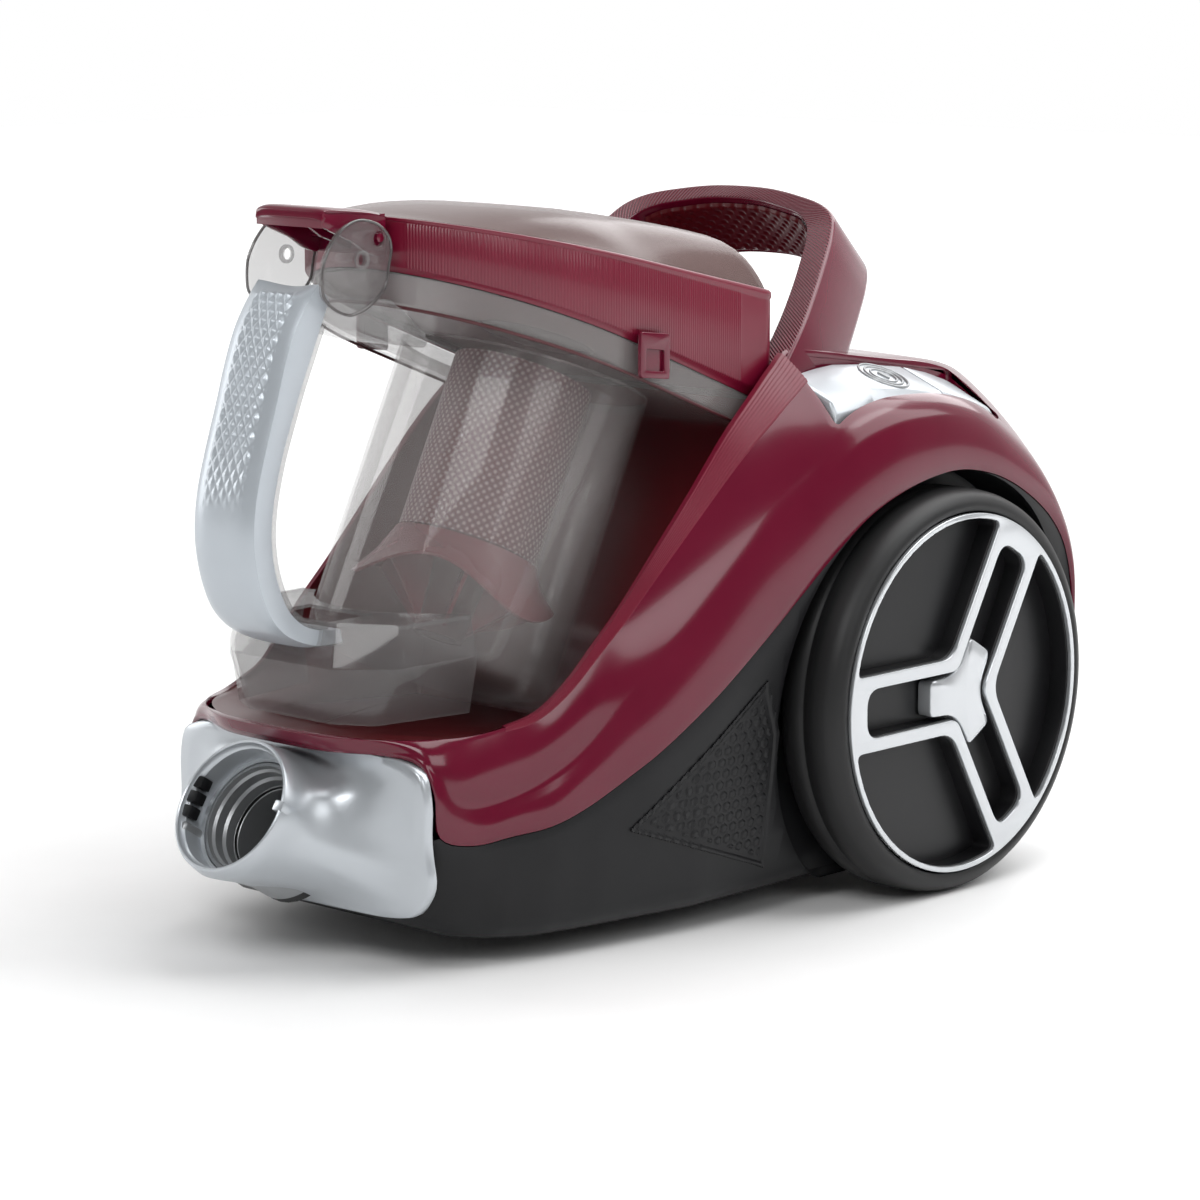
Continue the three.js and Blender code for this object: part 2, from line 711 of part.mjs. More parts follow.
function separatorSkirt() {
  const profile = [
    [19, -34], [36, -34], [37, -37], [50, -62], [47.5, -62], [35, -38], [19, -37], [19, -34],
  ];
  return turned(profile, binFrame);
}

function separatorCone() {
  const profile = [[10, -78], [12.4, -78], [28, 40], [28, 44], [25.6, 44], [10, -78]];
  return turned(profile, binFrame, 32).subtract(disc(40, 46, 100, binFrame, 12));
}

function foamFilter() {
  return lidBand(12, RING_LOW, 8, RING_LOW, 22)
    .intersect(underPlane(RING_HIGH, -3))
    .subtract(box(-FAR, FAR, 20, FAR, 0, FAR));
}

function filterFrame() {
  return lidBand(LID.wall + GAP, RING_LOW, 8, RING_LOW, 24)
    .subtract(lidBand(12 - GAP, RING_LOW, 0, RING_LOW, 60))
    .intersect(underPlane(RING_HIGH, -7))
    .subtract(box(-FAR, FAR, 20, FAR, 0, FAR));
}

function lidClip() {
  const z = RING_LOW.z + RING_LOW.slope * -38;
  const plate = box(LID.r + 0.6, LID.r + 3, -48, -28, z - 13, z + 8);
  return plate.subtract(box(0, FAR, -43, -33, z - 9, z - 2));
}

// ---------- inside the housing ----------
function motorHousing() {
  const { r, length } = MOTOR;
  const profile = [
    [22, 0], [r - 8, 0], [r, 10], [r, length - 20], [r - 10, length], [24, length],
    [24, length - 3], [r - 12, length - 3], [r - 3, length - 22], [r - 3, 11], [r - 10, 3], [22, 3],
    [22, 0],
  ];
  return turned(profile, placeAlongY(MOTOR.x, MOTOR.front, MOTOR.z), 32);
}

const motorLine = placeAlongY(MOTOR.x, MOTOR.front, MOTOR.z);

function motorStator() {
  return ring(22, 36, 62, 104, motorLine, 24);
}

function motorRotor() {
  const profile = [[0, 14], [4, 14], [4, 64], [19, 64], [19, 110], [4, 110], [4, 130], [0, 130]];
  return turned(profile, motorLine, 24);
}

function motorFan() {
  const profile = [
    [4.4, 22], [16, 22], [38, 26], [42, 28], [42, 42], [12, 42], [4.4, 42], [4.4, 22],
  ];
  return turned(profile, motorLine, 32);
}

function airDuct() {
  const outer = hull([
    [-34, 62, 244], [34, 62, 244], [-34, 62, 261], [34, 62, 261], [-34, 88, 261], [34, 88, 261],
    [-70, 70, 160], [-20, 70, 160], [-70, 96, 160], [-20, 96, 160],
  ]);
  const inner = hull([
    [-31, 50, 247], [31, 50, 247], [-31, 50, 258], [31, 50, 258], [-31, 85, 258], [31, 85, 258],
    [-67, 73, 150], [-23, 73, 150], [-67, 93, 150], [-23, 93, 150],
  ]);
  return outer.subtract(inner).subtract(bay(WALL + GAP));
}

function reelDrum() {
  const { r, width } = REEL;
  const half = width / 2;
  const profile = [
    [8, -half], [r, -half], [r, 2.5 - half], [30, 2.5 - half], [30, half - 2.5], [r, half - 2.5],
    [r, half], [8, half], [8, -half],
  ];
  return turned(profile, placeAlongX(REEL.x, REEL.y, REEL.z), 28);
}

function reelShaft() {
  return turned([[0, -33], [12, -33], [12, -29], [7.5, -29], [7.5, 34], [0, 34]],
    placeAlongX(REEL.x, REEL.y, REEL.z), 24);
}

function hepaFilter() {
  return box(-50, 50, 203, 222, 70, 146);
}

function exhaustGrille() {
  const plate = box(-53.8, 53.8, 233, 236.4, 66.4, 149.6);
  const bars = [];
  for (let i = 0; i < 8; i += 1) {
    const z = 76 + i * 9;
    bars.push(box(-46, 46, 200, 260, z - 2.2, z + 2.2));
  }
  const catchTab = box(-8, 8, 228, 234, 145, 148.5);
  return plate.subtract(joined(bars)).add(catchTab);
}

function cordOutlet() {
  const line = placeAlongY(72, 0, 118);
  const profile = [
    [5, 230.4], [11, 230.4], [11, 235.1], [8, 235.1], [8, 238.2], [5, 238.2], [5, 230.4],
  ];
  return turned(profile, line, 24);
}

function controlBoard() {
  return box(-60, 20, 130, 190, 204, 206);
}

// ---------- assembly ----------
function addHousing() {
  const cordHole = disc(8.4, 200, 260, placeAlongY(72, 0, 118), 24);
  add('base_pan', 'black', basePan().subtract(cordHole));
  add('upper_shell', 'burgundy', upperShell().subtract(cordHole));
  add('bin_cradle', 'darkRed', binCradle());
  add('carry_handle', 'burgundy', carryHandle());
  add('handle_grip_pad', 'rubber', handleGrip());
  add('cord_outlet', 'rubber', cordOutlet());
}

function addSidePairs() {
  const pairs = [
    ['rail_trim', 'burgundy', railTrim()],
    ['side_panel', 'black', sidePanel()],
    ['axle_stub', 'steel', axleStub()],
    ['tyre', 'tyre', tyre()],
    ['wheel_disc', 'black', wheelDisc()],
    ['wheel_trim', 'silver', wheelTrim()],
    ['hub_cap', 'silver', hubCap()],
    ['pedal', 'silver', pedalBody()],
    ['pedal_tail', 'silver', pedalTail()],
    ['pedal_spring', 'steel', pedalSpring()],
    ['lid_clip', 'burgundy', lidClip()],
  ];
  for (const [name, finish, solid] of pairs) {
    add(`${name}_left`, finish, solid);
    add(`${name}_right`, finish, mirrored(solid));
  }
}

function addInlet() {
  add('inlet_cover', 'silver', inletCover());
  add('inlet_socket', 'black', inletSocket());
  add('inlet_seal', 'rubber', ring(21.2, 26.8, -53, -48.5, mouthFrame, 32));
  add('inlet_duct', 'black', inletDuct());
}

function addCaster() {
  add('caster_fork', 'black', casterFork());
  add('caster_wheel', 'tyre', casterWheel());
  add('caster_pin', 'steel', casterPin());
}

function addBin() {
  add('bin_tub', 'clear', binTub());
  add('bin_foot', 'clear', binFoot());
  add('bin_handle', 'silver', binHandle());
  add('handle_liner', 'clear', handleLiner());
  add('bin_bracket', 'clear', binBracket());
  add('release_lever', 'burgundy', releaseLever());
}

function addLid() {
  add('lid_ring', 'burgundy', lidRing());
  add('lid_dome', 'smoke', lidDome());
  add('lid_floor', 'rose', lidFloor());
  add('bin_seal', 'rubber', binSeal());
  add('foam_filter', 'foam', foamFilter());
  add('filter_frame', 'rose', filterFrame());
  add('separator_mesh', 'rose', separatorMesh());
  add('separator_skirt', 'rose', separatorSkirt());
  add('separator_cone', 'rose', separatorCone());
}

function addInsides() {
  add('motor_housing', 'white', motorHousing());
  add('motor_stator', 'copper', motorStator());
  add('motor_rotor', 'steel', motorRotor());
  add('motor_fan', 'white', motorFan());
  add('air_duct', 'black', airDuct());
  add('reel_drum', 'white', reelDrum());
  add('reel_shaft', 'steel', reelShaft());
  add('hepa_filter', 'paper', hepaFilter());
  add('exhaust_grille', 'black', exhaustGrille());
  add('control_board', 'board', controlBoard());
}

addHousing();
addSidePairs();
addInlet();
addCaster();
addBin();
addLid();
addInsides();

export default vacuum;
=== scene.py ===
"""Looks of the cyclonic cylinder vacuum cleaner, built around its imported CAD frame."""

import math

import bmesh
import bpy
from mathutils import Matrix, Vector


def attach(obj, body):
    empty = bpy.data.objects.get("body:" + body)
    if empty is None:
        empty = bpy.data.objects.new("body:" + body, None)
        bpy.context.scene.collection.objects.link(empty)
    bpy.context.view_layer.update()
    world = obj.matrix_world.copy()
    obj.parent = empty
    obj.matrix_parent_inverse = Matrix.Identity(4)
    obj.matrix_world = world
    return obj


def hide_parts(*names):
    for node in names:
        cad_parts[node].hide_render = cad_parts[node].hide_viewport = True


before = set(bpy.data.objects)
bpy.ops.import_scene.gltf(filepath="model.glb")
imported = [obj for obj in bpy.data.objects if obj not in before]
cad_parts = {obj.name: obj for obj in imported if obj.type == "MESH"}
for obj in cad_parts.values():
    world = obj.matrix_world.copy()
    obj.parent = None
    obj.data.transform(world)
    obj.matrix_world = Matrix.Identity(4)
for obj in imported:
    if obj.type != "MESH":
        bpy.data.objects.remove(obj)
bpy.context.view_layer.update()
MM = 0.001

# Places on the machine, in millimetres, as the CAD frame has them.
AXLE_Y, AXLE_Z = 123.0, 100.0
MOUTH_Y, MOUTH_Z, MOUTH_LEAN = -220.9, 77.0, 57.8
BIN_Y, BIN_Z, BIN_LEAN = -52.7, 206.5, -26.3
LID_R, LID_Y, LID_HALF, LID_REAR, LID_CORNER = 92.0, -45.0, 90.0, 56.0, 9.0
RING_LOW = (262.7, -0.39)
RING_HIGH = (309.4, -0.2246)
FLANGE_DROP = 15.5


# ---------------------------------------------------------------- curves
def catmull(points, steps=8, closed=False):
    """Points along a smooth curve through the given points."""
    pts = [Vector(p) for p in points]
    count = len(pts)
    spans = count if closed else count - 1
    out = []
    for i in range(spans):
        if closed:
            a, b, c, d = (pts[(i + k - 1) % count] for k in range(4))
        else:
            a, b = pts[max(i - 1, 0)], pts[i]
            c, d = pts[i + 1], pts[min(i + 2, count - 1)]
        for k in range(steps):
            t = k / steps
            out.append(0.5 * (2 * b + (c - a) * t + (2 * a - 5 * b + 4 * c - d) * t * t
                              + (3 * b - a - 3 * c + d) * t * t * t))
    if not closed:
        out.append(pts[-1])
    return out


def fillet(points, radius, steps=6):
    """A closed 2D outline with each corner rounded by up to radius."""
    out = []
    count = len(points)
    for i, point in enumerate(points):
        r = radius[i] if isinstance(radius, (list, tuple)) else radius
        p = Vector(point)
        before = Vector(points[i - 1]) - p
        after = Vector(points[(i + 1) % count]) - p
        reach = min(r, before.length * 0.49, after.length * 0.49)
        if reach < 1e-4:
            out.append(p)
            continue
        start = p + before.normalized() * reach
        end = p + after.normalized() * reach
        for k in range(steps + 1):
            t = k / steps
            out.append(start * (1 - t) ** 2 + p * 2 * t * (1 - t) + end * t * t)
    return out


def lerp(a, b, t):
    return a + (b - a) * t


def ease(t):
    return t * t * (3 - 2 * t)


def lookup(table, x):
    """Straight-line value at x of a sorted table of (x, value)."""
    if x <= table[0][0]:
        return table[0][1]
    for (x0, v0), (x1, v1) in zip(table, table[1:]):
        if x <= x1:
            return lerp(v0, v1, (x - x0) / (x1 - x0))
    return table[-1][1]


# ---------------------------------------------------------------- meshes
def piece(name, verts, faces, matrix=None):
    """A mesh object from millimetre vertices."""
    mesh = bpy.data.meshes.new(name)
    if matrix:
        verts = [matrix @ Vector(v) for v in verts]
    mesh.from_pydata([tuple(Vector(v) * MM) for v in verts], [], faces)
    obj = bpy.data.objects.new(name, mesh)
    bpy.context.scene.collection.objects.link(obj)
    return obj


def grid_faces(rows, cols, wrap_rows=False, wrap_cols=False):
    faces = []
    for i in range(rows if wrap_rows else rows - 1):
        for j in range(cols if wrap_cols else cols - 1):
            i2, j2 = (i + 1) % rows, (j + 1) % cols
            faces.append((i * cols + j, i * cols + j2, i2 * cols + j2, i2 * cols + j))
    return faces


def grid(name, rows, wrap_rows=False, wrap_cols=False, matrix=None):
    cols = len(rows[0])
    verts = [v for row in rows for v in row]
    return piece(name, verts, grid_faces(len(rows), cols, wrap_rows, wrap_cols), matrix)


def loft(name, rings, caps=True, matrix=None):
    """Closed rings of equal length joined into a skin, with flat ends."""
    cols = len(rings[0])
    verts = [v for ring in rings for v in ring]
    faces = grid_faces(len(rings), cols, False, True)
    if caps:
        faces.append(tuple(reversed(range(cols))))
        faces.append(tuple(range((len(rings) - 1) * cols, len(rings) * cols)))
    return tidy(piece(name, verts, faces, matrix))


def turned(name, profile, matrix, segments=96, closed=True):
    """A profile of (radius, height) turned about local Z. A closed profile wraps round."""
    rows = []
    for k in range(segments):
        a = 2 * math.pi * k / segments
        rows.append([(r * math.cos(a), r * math.sin(a), h) for r, h in profile])
    return tidy(grid(name, rows, wrap_rows=True, wrap_cols=closed, matrix=matrix))


def prism(name, outline, low, high, matrix):
    """A 2D outline extruded along local Z."""
    rings = [[(u, v, low) for u, v in outline], [(u, v, high) for u, v in outline]]
    return loft(name, rings, matrix=matrix)


def tidy(obj, merge=0.00002):
    mesh = bmesh.new()
    mesh.from_mesh(obj.data)
    bmesh.ops.remove_doubles(mesh, verts=mesh.verts, dist=merge)
    bmesh.ops.recalc_face_normals(mesh, faces=mesh.faces)
    mesh.to_mesh(obj.data)
    mesh.free()
    return obj


def face_away(obj, centre):
    """Turns an open skin's faces to point away from a centre, in millimetres."""
    tidy(obj)
    c = Vector(centre) * MM
    total = sum((f.center - c).dot(f.normal) * f.area for f in obj.data.polygons)
    if total < 0:
        obj.data.flip_normals()
    return obj


def apply_modifiers(obj):
    graph = bpy.context.evaluated_depsgraph_get()
    mesh = bpy.data.meshes.new_from_object(obj.evaluated_get(graph))
    obj.modifiers.clear()
    obj.data = mesh
    return obj


def thicken(obj, thickness, offset=-1):
    mod = obj.modifiers.new("thickness", "SOLIDIFY")
    mod.thickness = thickness * MM
    mod.offset = offset
    return apply_modifiers(obj)


def bevelled(obj, width, segments=2, angle=35):
    mod = obj.modifiers.new("bevel", "BEVEL")
    mod.width = width * MM
    mod.segments = segments
    mod.limit_method = "ANGLE"
    mod.angle_limit = math.radians(angle)
    return apply_modifiers(obj)


def cut(obj, *cutters):
    for cutter in cutters:
        mod = obj.modifiers.new("cut", "BOOLEAN")
        mod.operation = "DIFFERENCE"
        mod.object = cutter
        apply_modifiers(obj)
        bpy.data.objects.remove(cutter)
    return obj


def merged(name, *parts):
    """Several meshes as one object."""
    mesh = bmesh.new()
    for part in parts:
        mesh.from_mesh(part.data)
        bpy.data.objects.remove(part)
    data = bpy.data.meshes.new(name)
    mesh.to_mesh(data)
    mesh.free()
    obj = bpy.data.objects.new(name, data)
    bpy.context.scene.collection.objects.link(obj)
    return obj


def mirror_copy(obj, name):
    data = obj.data.copy()
    data.transform(Matrix.Scale(-1, 4, (1, 0, 0)))
    data.flip_normals()
    other = bpy.data.objects.new(name, data)
    bpy.context.scene.collection.objects.link(other)
    return other


def box_mesh(name, low, high, matrix=None):
    (x0, y0, z0), (x1, y1, z1) = low, high
    ring = [(x0, y0), (x1, y0), (x1, y1), (x0, y1)]
    return loft(name, [[(x, y, z0) for x, y in ring], [(x, y, z1) for x, y in ring]], matrix=matrix)


def show(obj, material, body, nodes=(), smooth=40):
    """Gives a finished piece its material, its body and the nodes it stands for."""
    obj.data.materials.clear()
    obj.data.materials.append(material)
    for polygon in obj.data.polygons:
        polygon.use_smooth = True
    obj.data.set_sharp_from_angle(angle=math.radians(smooth))
    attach(obj, body)
    if nodes:
        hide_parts(*nodes)
    return obj


def along_x(x, y, z):
    """Local Z along +X, local X along +Y, local Y along +Z."""
    return Matrix(((0, 0, 1, x), (1, 0, 0, y), (0, 1, 0, z), (0, 0, 0, 1)))


def leaned(y, z, degrees):
    return Matrix.Translation((0, y, z)) @ Matrix.Rotation(math.radians(degrees), 4, "X")


BIN_FRAME = leaned(BIN_Y, BIN_Z, BIN_LEAN)
MOUTH_FRAME = leaned(MOUTH_Y, MOUTH_Z, MOUTH_LEAN)
WHEEL_FRAME = along_x(0, AXLE_Y, AXLE_Z)


# ---------------------------------------------------------------- materials
def node_of(tree, kind, **sockets):
    node = tree.nodes.new(kind)
    for key, value in sockets.items():
        node.inputs[key.replace("_", " ")].default_value = value
    return node


def plastic(name, colour, roughness, spread=0.12, grain=900.0, bump=0.02, metallic=0.0, alpha=1.0,
            coat=0.0, rough_spread=0.06, patch=14.0, specular=0.5):
    """Moulded plastic: mottled colour, uneven gloss and a fine moulded grain."""
    material = bpy.data.materials.new(name)
    material.use_nodes = True
    tree = material.node_tree
    shader = tree.nodes["Principled BSDF"]
    where = tree.nodes.new("ShaderNodeTexCoord")

    cloud = node_of(tree, "ShaderNodeTexNoise", Scale=patch, Detail=4.0, Roughness=0.6)
    tree.links.new(where.outputs["Object"], cloud.inputs["Vector"])
    ramp = tree.nodes.new("ShaderNodeValToRGB")
    dark = [c * (1 - spread) for c in colour]
    light = [min(c * (1 + spread) + 0.002, 1.0) for c in colour]
    ramp.color_ramp.elements[0].position = 0.3
    ramp.color_ramp.elements[0].color = (*dark, 1)
    ramp.color_ramp.elements[1].position = 0.7
    ramp.color_ramp.elements[1].color = (*light, 1)
    tree.links.new(cloud.outputs["Fac"], ramp.inputs["Fac"])
    tree.links.new(ramp.outputs["Color"], shader.inputs["Base Color"])

    rough = tree.nodes.new("ShaderNodeMapRange")
    rough.inputs["To Min"].default_value = max(roughness - rough_spread, 0.01)
    rough.inputs["To Max"].default_value = roughness + rough_spread
    tree.links.new(cloud.outputs["Fac"], rough.inputs["Value"])
    tree.links.new(rough.outputs["Result"], shader.inputs["Roughness"])

    fine = node_of(tree, "ShaderNodeTexNoise", Scale=grain, Detail=3.0)
    tree.links.new(where.outputs["Object"], fine.inputs["Vector"])
    relief = node_of(tree, "ShaderNodeBump", Strength=bump, Distance=0.0004)
    tree.links.new(fine.outputs["Fac"], relief.inputs["Height"])
    tree.links.new(relief.outputs["Normal"], shader.inputs["Normal"])

    shader.inputs["Metallic"].default_value = metallic
    shader.inputs["Alpha"].default_value = alpha
    shader.inputs["Coat Weight"].default_value = coat
    shader.inputs["Coat Roughness"].default_value = 0.08
    shader.inputs["Specular IOR Level"].default_value = specular
    return material


def add_stripes(material, pitch, angle=0.0, strength=0.5, second=None, uv="detail"):
    """Fine moulded lines, pitch in metres, laid over a piece's detail coordinates; their troughs get painted
    shade in the colour.
    """
    tree = material.node_tree
    shader = tree.nodes["Principled BSDF"]
    relief = next(n for n in tree.nodes if n.type == "BUMP")
    coords = tree.nodes.new("ShaderNodeUVMap")
    coords.uv_map = uv
    heights = []
    for turn in (angle, second):
        if turn is None:
            continue
        mapping = tree.nodes.new("ShaderNodeMapping")
        mapping.inputs["Rotation"].default_value = (0, 0, turn)
        wave = node_of(tree, "ShaderNodeTexWave", Scale=1.0 / pitch / 3.18)
        wave.wave_profile = "SIN"
        tree.links.new(coords.outputs["UV"], mapping.inputs["Vector"])
        tree.links.new(mapping.outputs["Vector"], wave.inputs["Vector"])
        heights.append(wave.outputs["Fac"])
    top = heights[0]
    if len(heights) == 2:
        both = tree.nodes.new("ShaderNodeMath")
        both.operation = "MULTIPLY"
        tree.links.new(heights[0], both.inputs[0])
        tree.links.new(heights[1], both.inputs[1])
        top = both.outputs["Value"]
    # Painted shade: the troughs of the lines darken the base colour down to 0.45 of itself.
    shade = tree.nodes.new("ShaderNodeMapRange")
    shade.inputs["To Min"].default_value = 0.45
    tree.links.new(top, shade.inputs["Value"])
    mottled = shader.inputs["Base Color"].links[0].from_socket
    mix = tree.nodes.new("ShaderNodeMix")
    mix.data_type = "RGBA"
    mix.blend_type = "MULTIPLY"
    mix.inputs["Factor"].default_value = 1.0
    tree.links.new(mottled, mix.inputs["A"])
    tree.links.new(shade.outputs["Result"], mix.inputs["B"])
    tree.links.new(mix.outputs["Result"], shader.inputs["Base Color"])
    lines = node_of(tree, "ShaderNodeBump", Strength=strength, Distance=0.0006)
    tree.links.new(top, lines.inputs["Height"])
    tree.links.new(relief.outputs["Normal"], lines.inputs["Normal"])
    tree.links.new(lines.outputs["Normal"], shader.inputs["Normal"])
    return material


def uv_by_rows(obj, rows, cols):
    """Detail coordinates in metres: u runs along a row, v from row to row. Call before tidy."""
    mesh = obj.data
    layer = mesh.uv_layers.new(name="detail")
    points = [v.co for v in mesh.vertices]
    u = [[0.0] * (cols + 1) for _ in range(rows)]
    for i in range(rows):
        for j in range(1, cols + 1):
            step = points[i * cols + j % cols] - points[i * cols + j - 1]
            u[i][j] = u[i][j - 1] + step.length
    middle = cols // 2
    v = [0.0] * (rows + 1)
    for i in range(1, rows + 1):
        step = points[(i % rows) * cols + middle] - points[(i - 1) * cols + middle]
        v[i] = v[i - 1] + step.length
    for polygon in mesh.polygons:
        first = polygon.vertices[0]
        i0, j0 = divmod(first, cols)
        corners = ((i0, j0), (i0, j0 + 1), (i0 + 1, j0 + 1), (i0 + 1, j0))
        for loop, (i, j) in zip(polygon.loop_indices, corners):
            layer.data[loop].uv = (u[i % rows][j], v[i])
    return obj


BURGUNDY = plastic("burgundy_gloss", (0.112, 0.0006, 0.016), 0.17, spread=0.06, grain=500, bump=0.012,
                   coat=0.3, rough_spread=0.03, specular=0.4)
BURGUNDY_FINE = plastic("burgundy_ribbed", (0.15, 0.0018, 0.019), 0.34, spread=0.08, grain=1200, bump=0.03,
                        coat=0.2)
DARK_RED = plastic("bay_red", (0.085, 0.0022, 0.005), 0.34, spread=0.15, grain=1500, bump=0.05)
BLACK = plastic("base_black", (0.0065, 0.0065, 0.0075), 0.42, spread=0.2, grain=1600, bump=0.08, specular=0.3)
BLACK_SATIN = plastic("wheel_black", (0.0075, 0.0075, 0.0085), 0.36, spread=0.2, grain=1800, bump=0.06,
                      specular=0.35)
TYRE = plastic("tyre_black", (0.0065, 0.0065, 0.007), 0.46, spread=0.25, grain=2200, bump=0.12, specular=0.4)
RUBBER = plastic("seal_black", (0.012, 0.012, 0.012), 0.6, spread=0.2, grain=1800, bump=0.12)
SILVER = plastic("silver_satin", (0.50, 0.53, 0.56), 0.30, spread=0.04, grain=2600, bump=0.03, metallic=0.55,
                 coat=0.15)
SILVER_BRIGHT = plastic("silver_bright", (0.60, 0.62, 0.64), 0.24, spread=0.03, grain=2400, bump=0.02,
                        metallic=0.7)
SOCKET_GREY = plastic("socket_grey", (0.33, 0.34, 0.35), 0.34, spread=0.06, grain=2000, bump=0.03,
                      metallic=0.5)
CLEAR = plastic("clear_shell", (0.40, 0.375, 0.37), 0.06, spread=0.03, grain=300, bump=0.004, alpha=0.24,
                rough_spread=0.02, patch=8, specular=0.9)
# A darker copy of the clear plastic for the bin's foot, grip liner and ear bracket: painted shade for the
# dark look of thick clear edges.
CLEAR_PAINTED_DARKER = plastic("clear_painted_darker", (0.20, 0.19, 0.19), 0.06, spread=0.05, grain=300, bump=0.004,
                     alpha=0.30, rough_spread=0.02, specular=0.9)
# Painted dark edge: a near-opaque dark copy of the clear plastic, for tubes that paint the dark refraction
# line along the ears' edges.
EAR_PAINTED_DARK_EDGE = plastic("clear_rim_painted_dark_edge", (0.10, 0.09, 0.09), 0.08, spread=0.05, grain=300, bump=0.004, alpha=0.75,
                  rough_spread=0.02, specular=0.9)
SMOKE = plastic("smoky_dome", (0.13, 0.075, 0.07), 0.22, spread=0.05, grain=120, bump=0.001, alpha=0.80,
                rough_spread=0.03, specular=0.35)
ROSE = plastic("rose_tint", (0.27, 0.04, 0.06), 0.28, spread=0.08, grain=900, bump=0.02, alpha=0.80)
ROSE_DARK = plastic("rose_dark", (0.075, 0.016, 0.02), 0.35, spread=0.1, grain=900, bump=0.02)
FOAM = plastic("foam_black", (0.03, 0.03, 0.032), 0.9, spread=0.4, grain=700, bump=0.8, patch=60)
PAPER = plastic("filter_paper", (0.72, 0.70, 0.64), 0.85, spread=0.06, grain=900, bump=0.3)
STEEL = plastic("turned_steel", (0.55, 0.56, 0.57), 0.28, spread=0.05, grain=1500, bump=0.05, metallic=1.0)
COPPER = plastic("windings", (0.42, 0.16, 0.06), 0.4, spread=0.2, grain=900, bump=0.4, metallic=0.8)
WHITE = plastic("inner_white", (0.55, 0.55, 0.52), 0.5, spread=0.05, grain=900, bump=0.05)
BOARD = plastic("board_green", (0.012, 0.09, 0.035), 0.4, spread=0.25, grain=400, bump=0.1, patch=80)


# ---------------------------------------------------------------- housing curves
# Matching points from the front centre, round the front corner and back along the side:
# the lower edge of the burgundy moulding, its crease, and the edge of the bin bay.
EDGE = [
    ((0, -193, 101.6), (0, -195, 104.5), (0, -196, 109)),
    ((33, -191, 101.6), (33.5, -193, 104.5), (33, -194.5, 109)),
    ((60, -179.5, 101.4), (60, -180.5, 104), (55, -184, 109)),
    ((75, -174, 98), (75, -174, 102), (69, -173, 109)),
    ((82.6, -172, 86), (81.5, -169.5, 94), (78, -161, 109)),
    ((84.5, -170, 66), (86, -161, 82), (84, -148, 109.5)),
    ((89.5, -154, 60.5), (90, -144, 78.5), (89.5, -133, 112)),
    ((95, -134, 62.3), (95.5, -124, 83), (94, -116, 117)),
    ((102, -115, 65), (101, -105, 92), (97.5, -100, 129)),
    ((106.5, -96, 71.5), (105, -91, 103), (99.2, -84, 144)),
    ((113, -76, 83), (110, -76, 117), (99.8, -65, 161)),
    ((119.5, -57, 95.5), (115.5, -57, 134), (100, -45, 181)),
    ((126, -29, 116), (121.5, -31, 159), (100, -20, 206)),
    ((130.5, 1, 140), (127, -1, 187), (99, 6, 232)),
    ((134, 20, 157), (130.5, 22, 205), (97.5, 28, 250)),
    ((137, 40, 174), (133.5, 42, 220), (95, 45, 262)),
    ((140, 63, 191), (135.5, 62, 232), (92.5, 60, 270)),
    ((141.6, 86, 201), (137.4, 84, 238), (91.5, 84, 267.5)),
    ((142, 111, 206.8), (138, 108, 239.5), (90.5, 110, 263.5)),
    ((142, 136, 208), (138, 133, 238), (89.5, 135, 260)),
    ((142, 164, 202), (138, 160, 230), (88.5, 165, 256.5)),
    ((141, 190, 190), (138, 188, 213), (87, 190, 251)),
    ((139, 212, 175), (138, 208, 196), (86, 207, 243)),
    ((137, 227, 157), (137, 224, 176), (85, 222, 228)),
    ((135, 235.5, 130), (136, 234, 156), (84, 232.5, 207)),
    ((133.5, 238.2, 100), (133.5, 238.2, 138), (82, 238.2, 182)),
]
STEPS = 5
LOWER = catmull([e[0] for e in EDGE], STEPS)
CREASE = catmull([e[1] for e in EDGE], STEPS)
RIM = catmull([e[2] for e in EDGE], STEPS)
DECK_START = 16 * STEPS
RAIL_WIDTH = [(-150, 0.0), (-128, 2.6), (-100, 5), (-75, 7), (-20, 13), (30, 19), (58, 21)]


def side_section(i, lift=0.0):
    """Points from the lower edge up over the crease to the rim, at one place along the side."""
    low, crease, rim = LOWER[i], CREASE[i], RIM[i]
    fade = min(i / (7 * STEPS), 1.0)
    band = (crease - low)
    outward = Vector((1, 0, 0)) if low.y > -150 else Vector((0.6, -0.8, 0))
    points = []
    for k in range(7):
        t = k / 7
        points.append(low + band * t + outward * (1.6 * fade * math.sin(math.pi * t)))
    top = rim - crease
    normal = Vector((top.z, 0, -top.x)).normalized() if top.length > 1 else Vector((0, 0, 1))
    if normal.z < 0:
        normal = -normal
    for k in range(15):
        t = k / 14
        points.append(crease + top * t + normal * (3.0 * fade * math.sin(math.pi * t) ** 0.8))
    # The crease itself is a small round.
    points[7] = points[7] * 0.5 + (points[6] + points[8]) * 0.25
    if lift:
        points = [p + normal * lift for p in points]
    return points


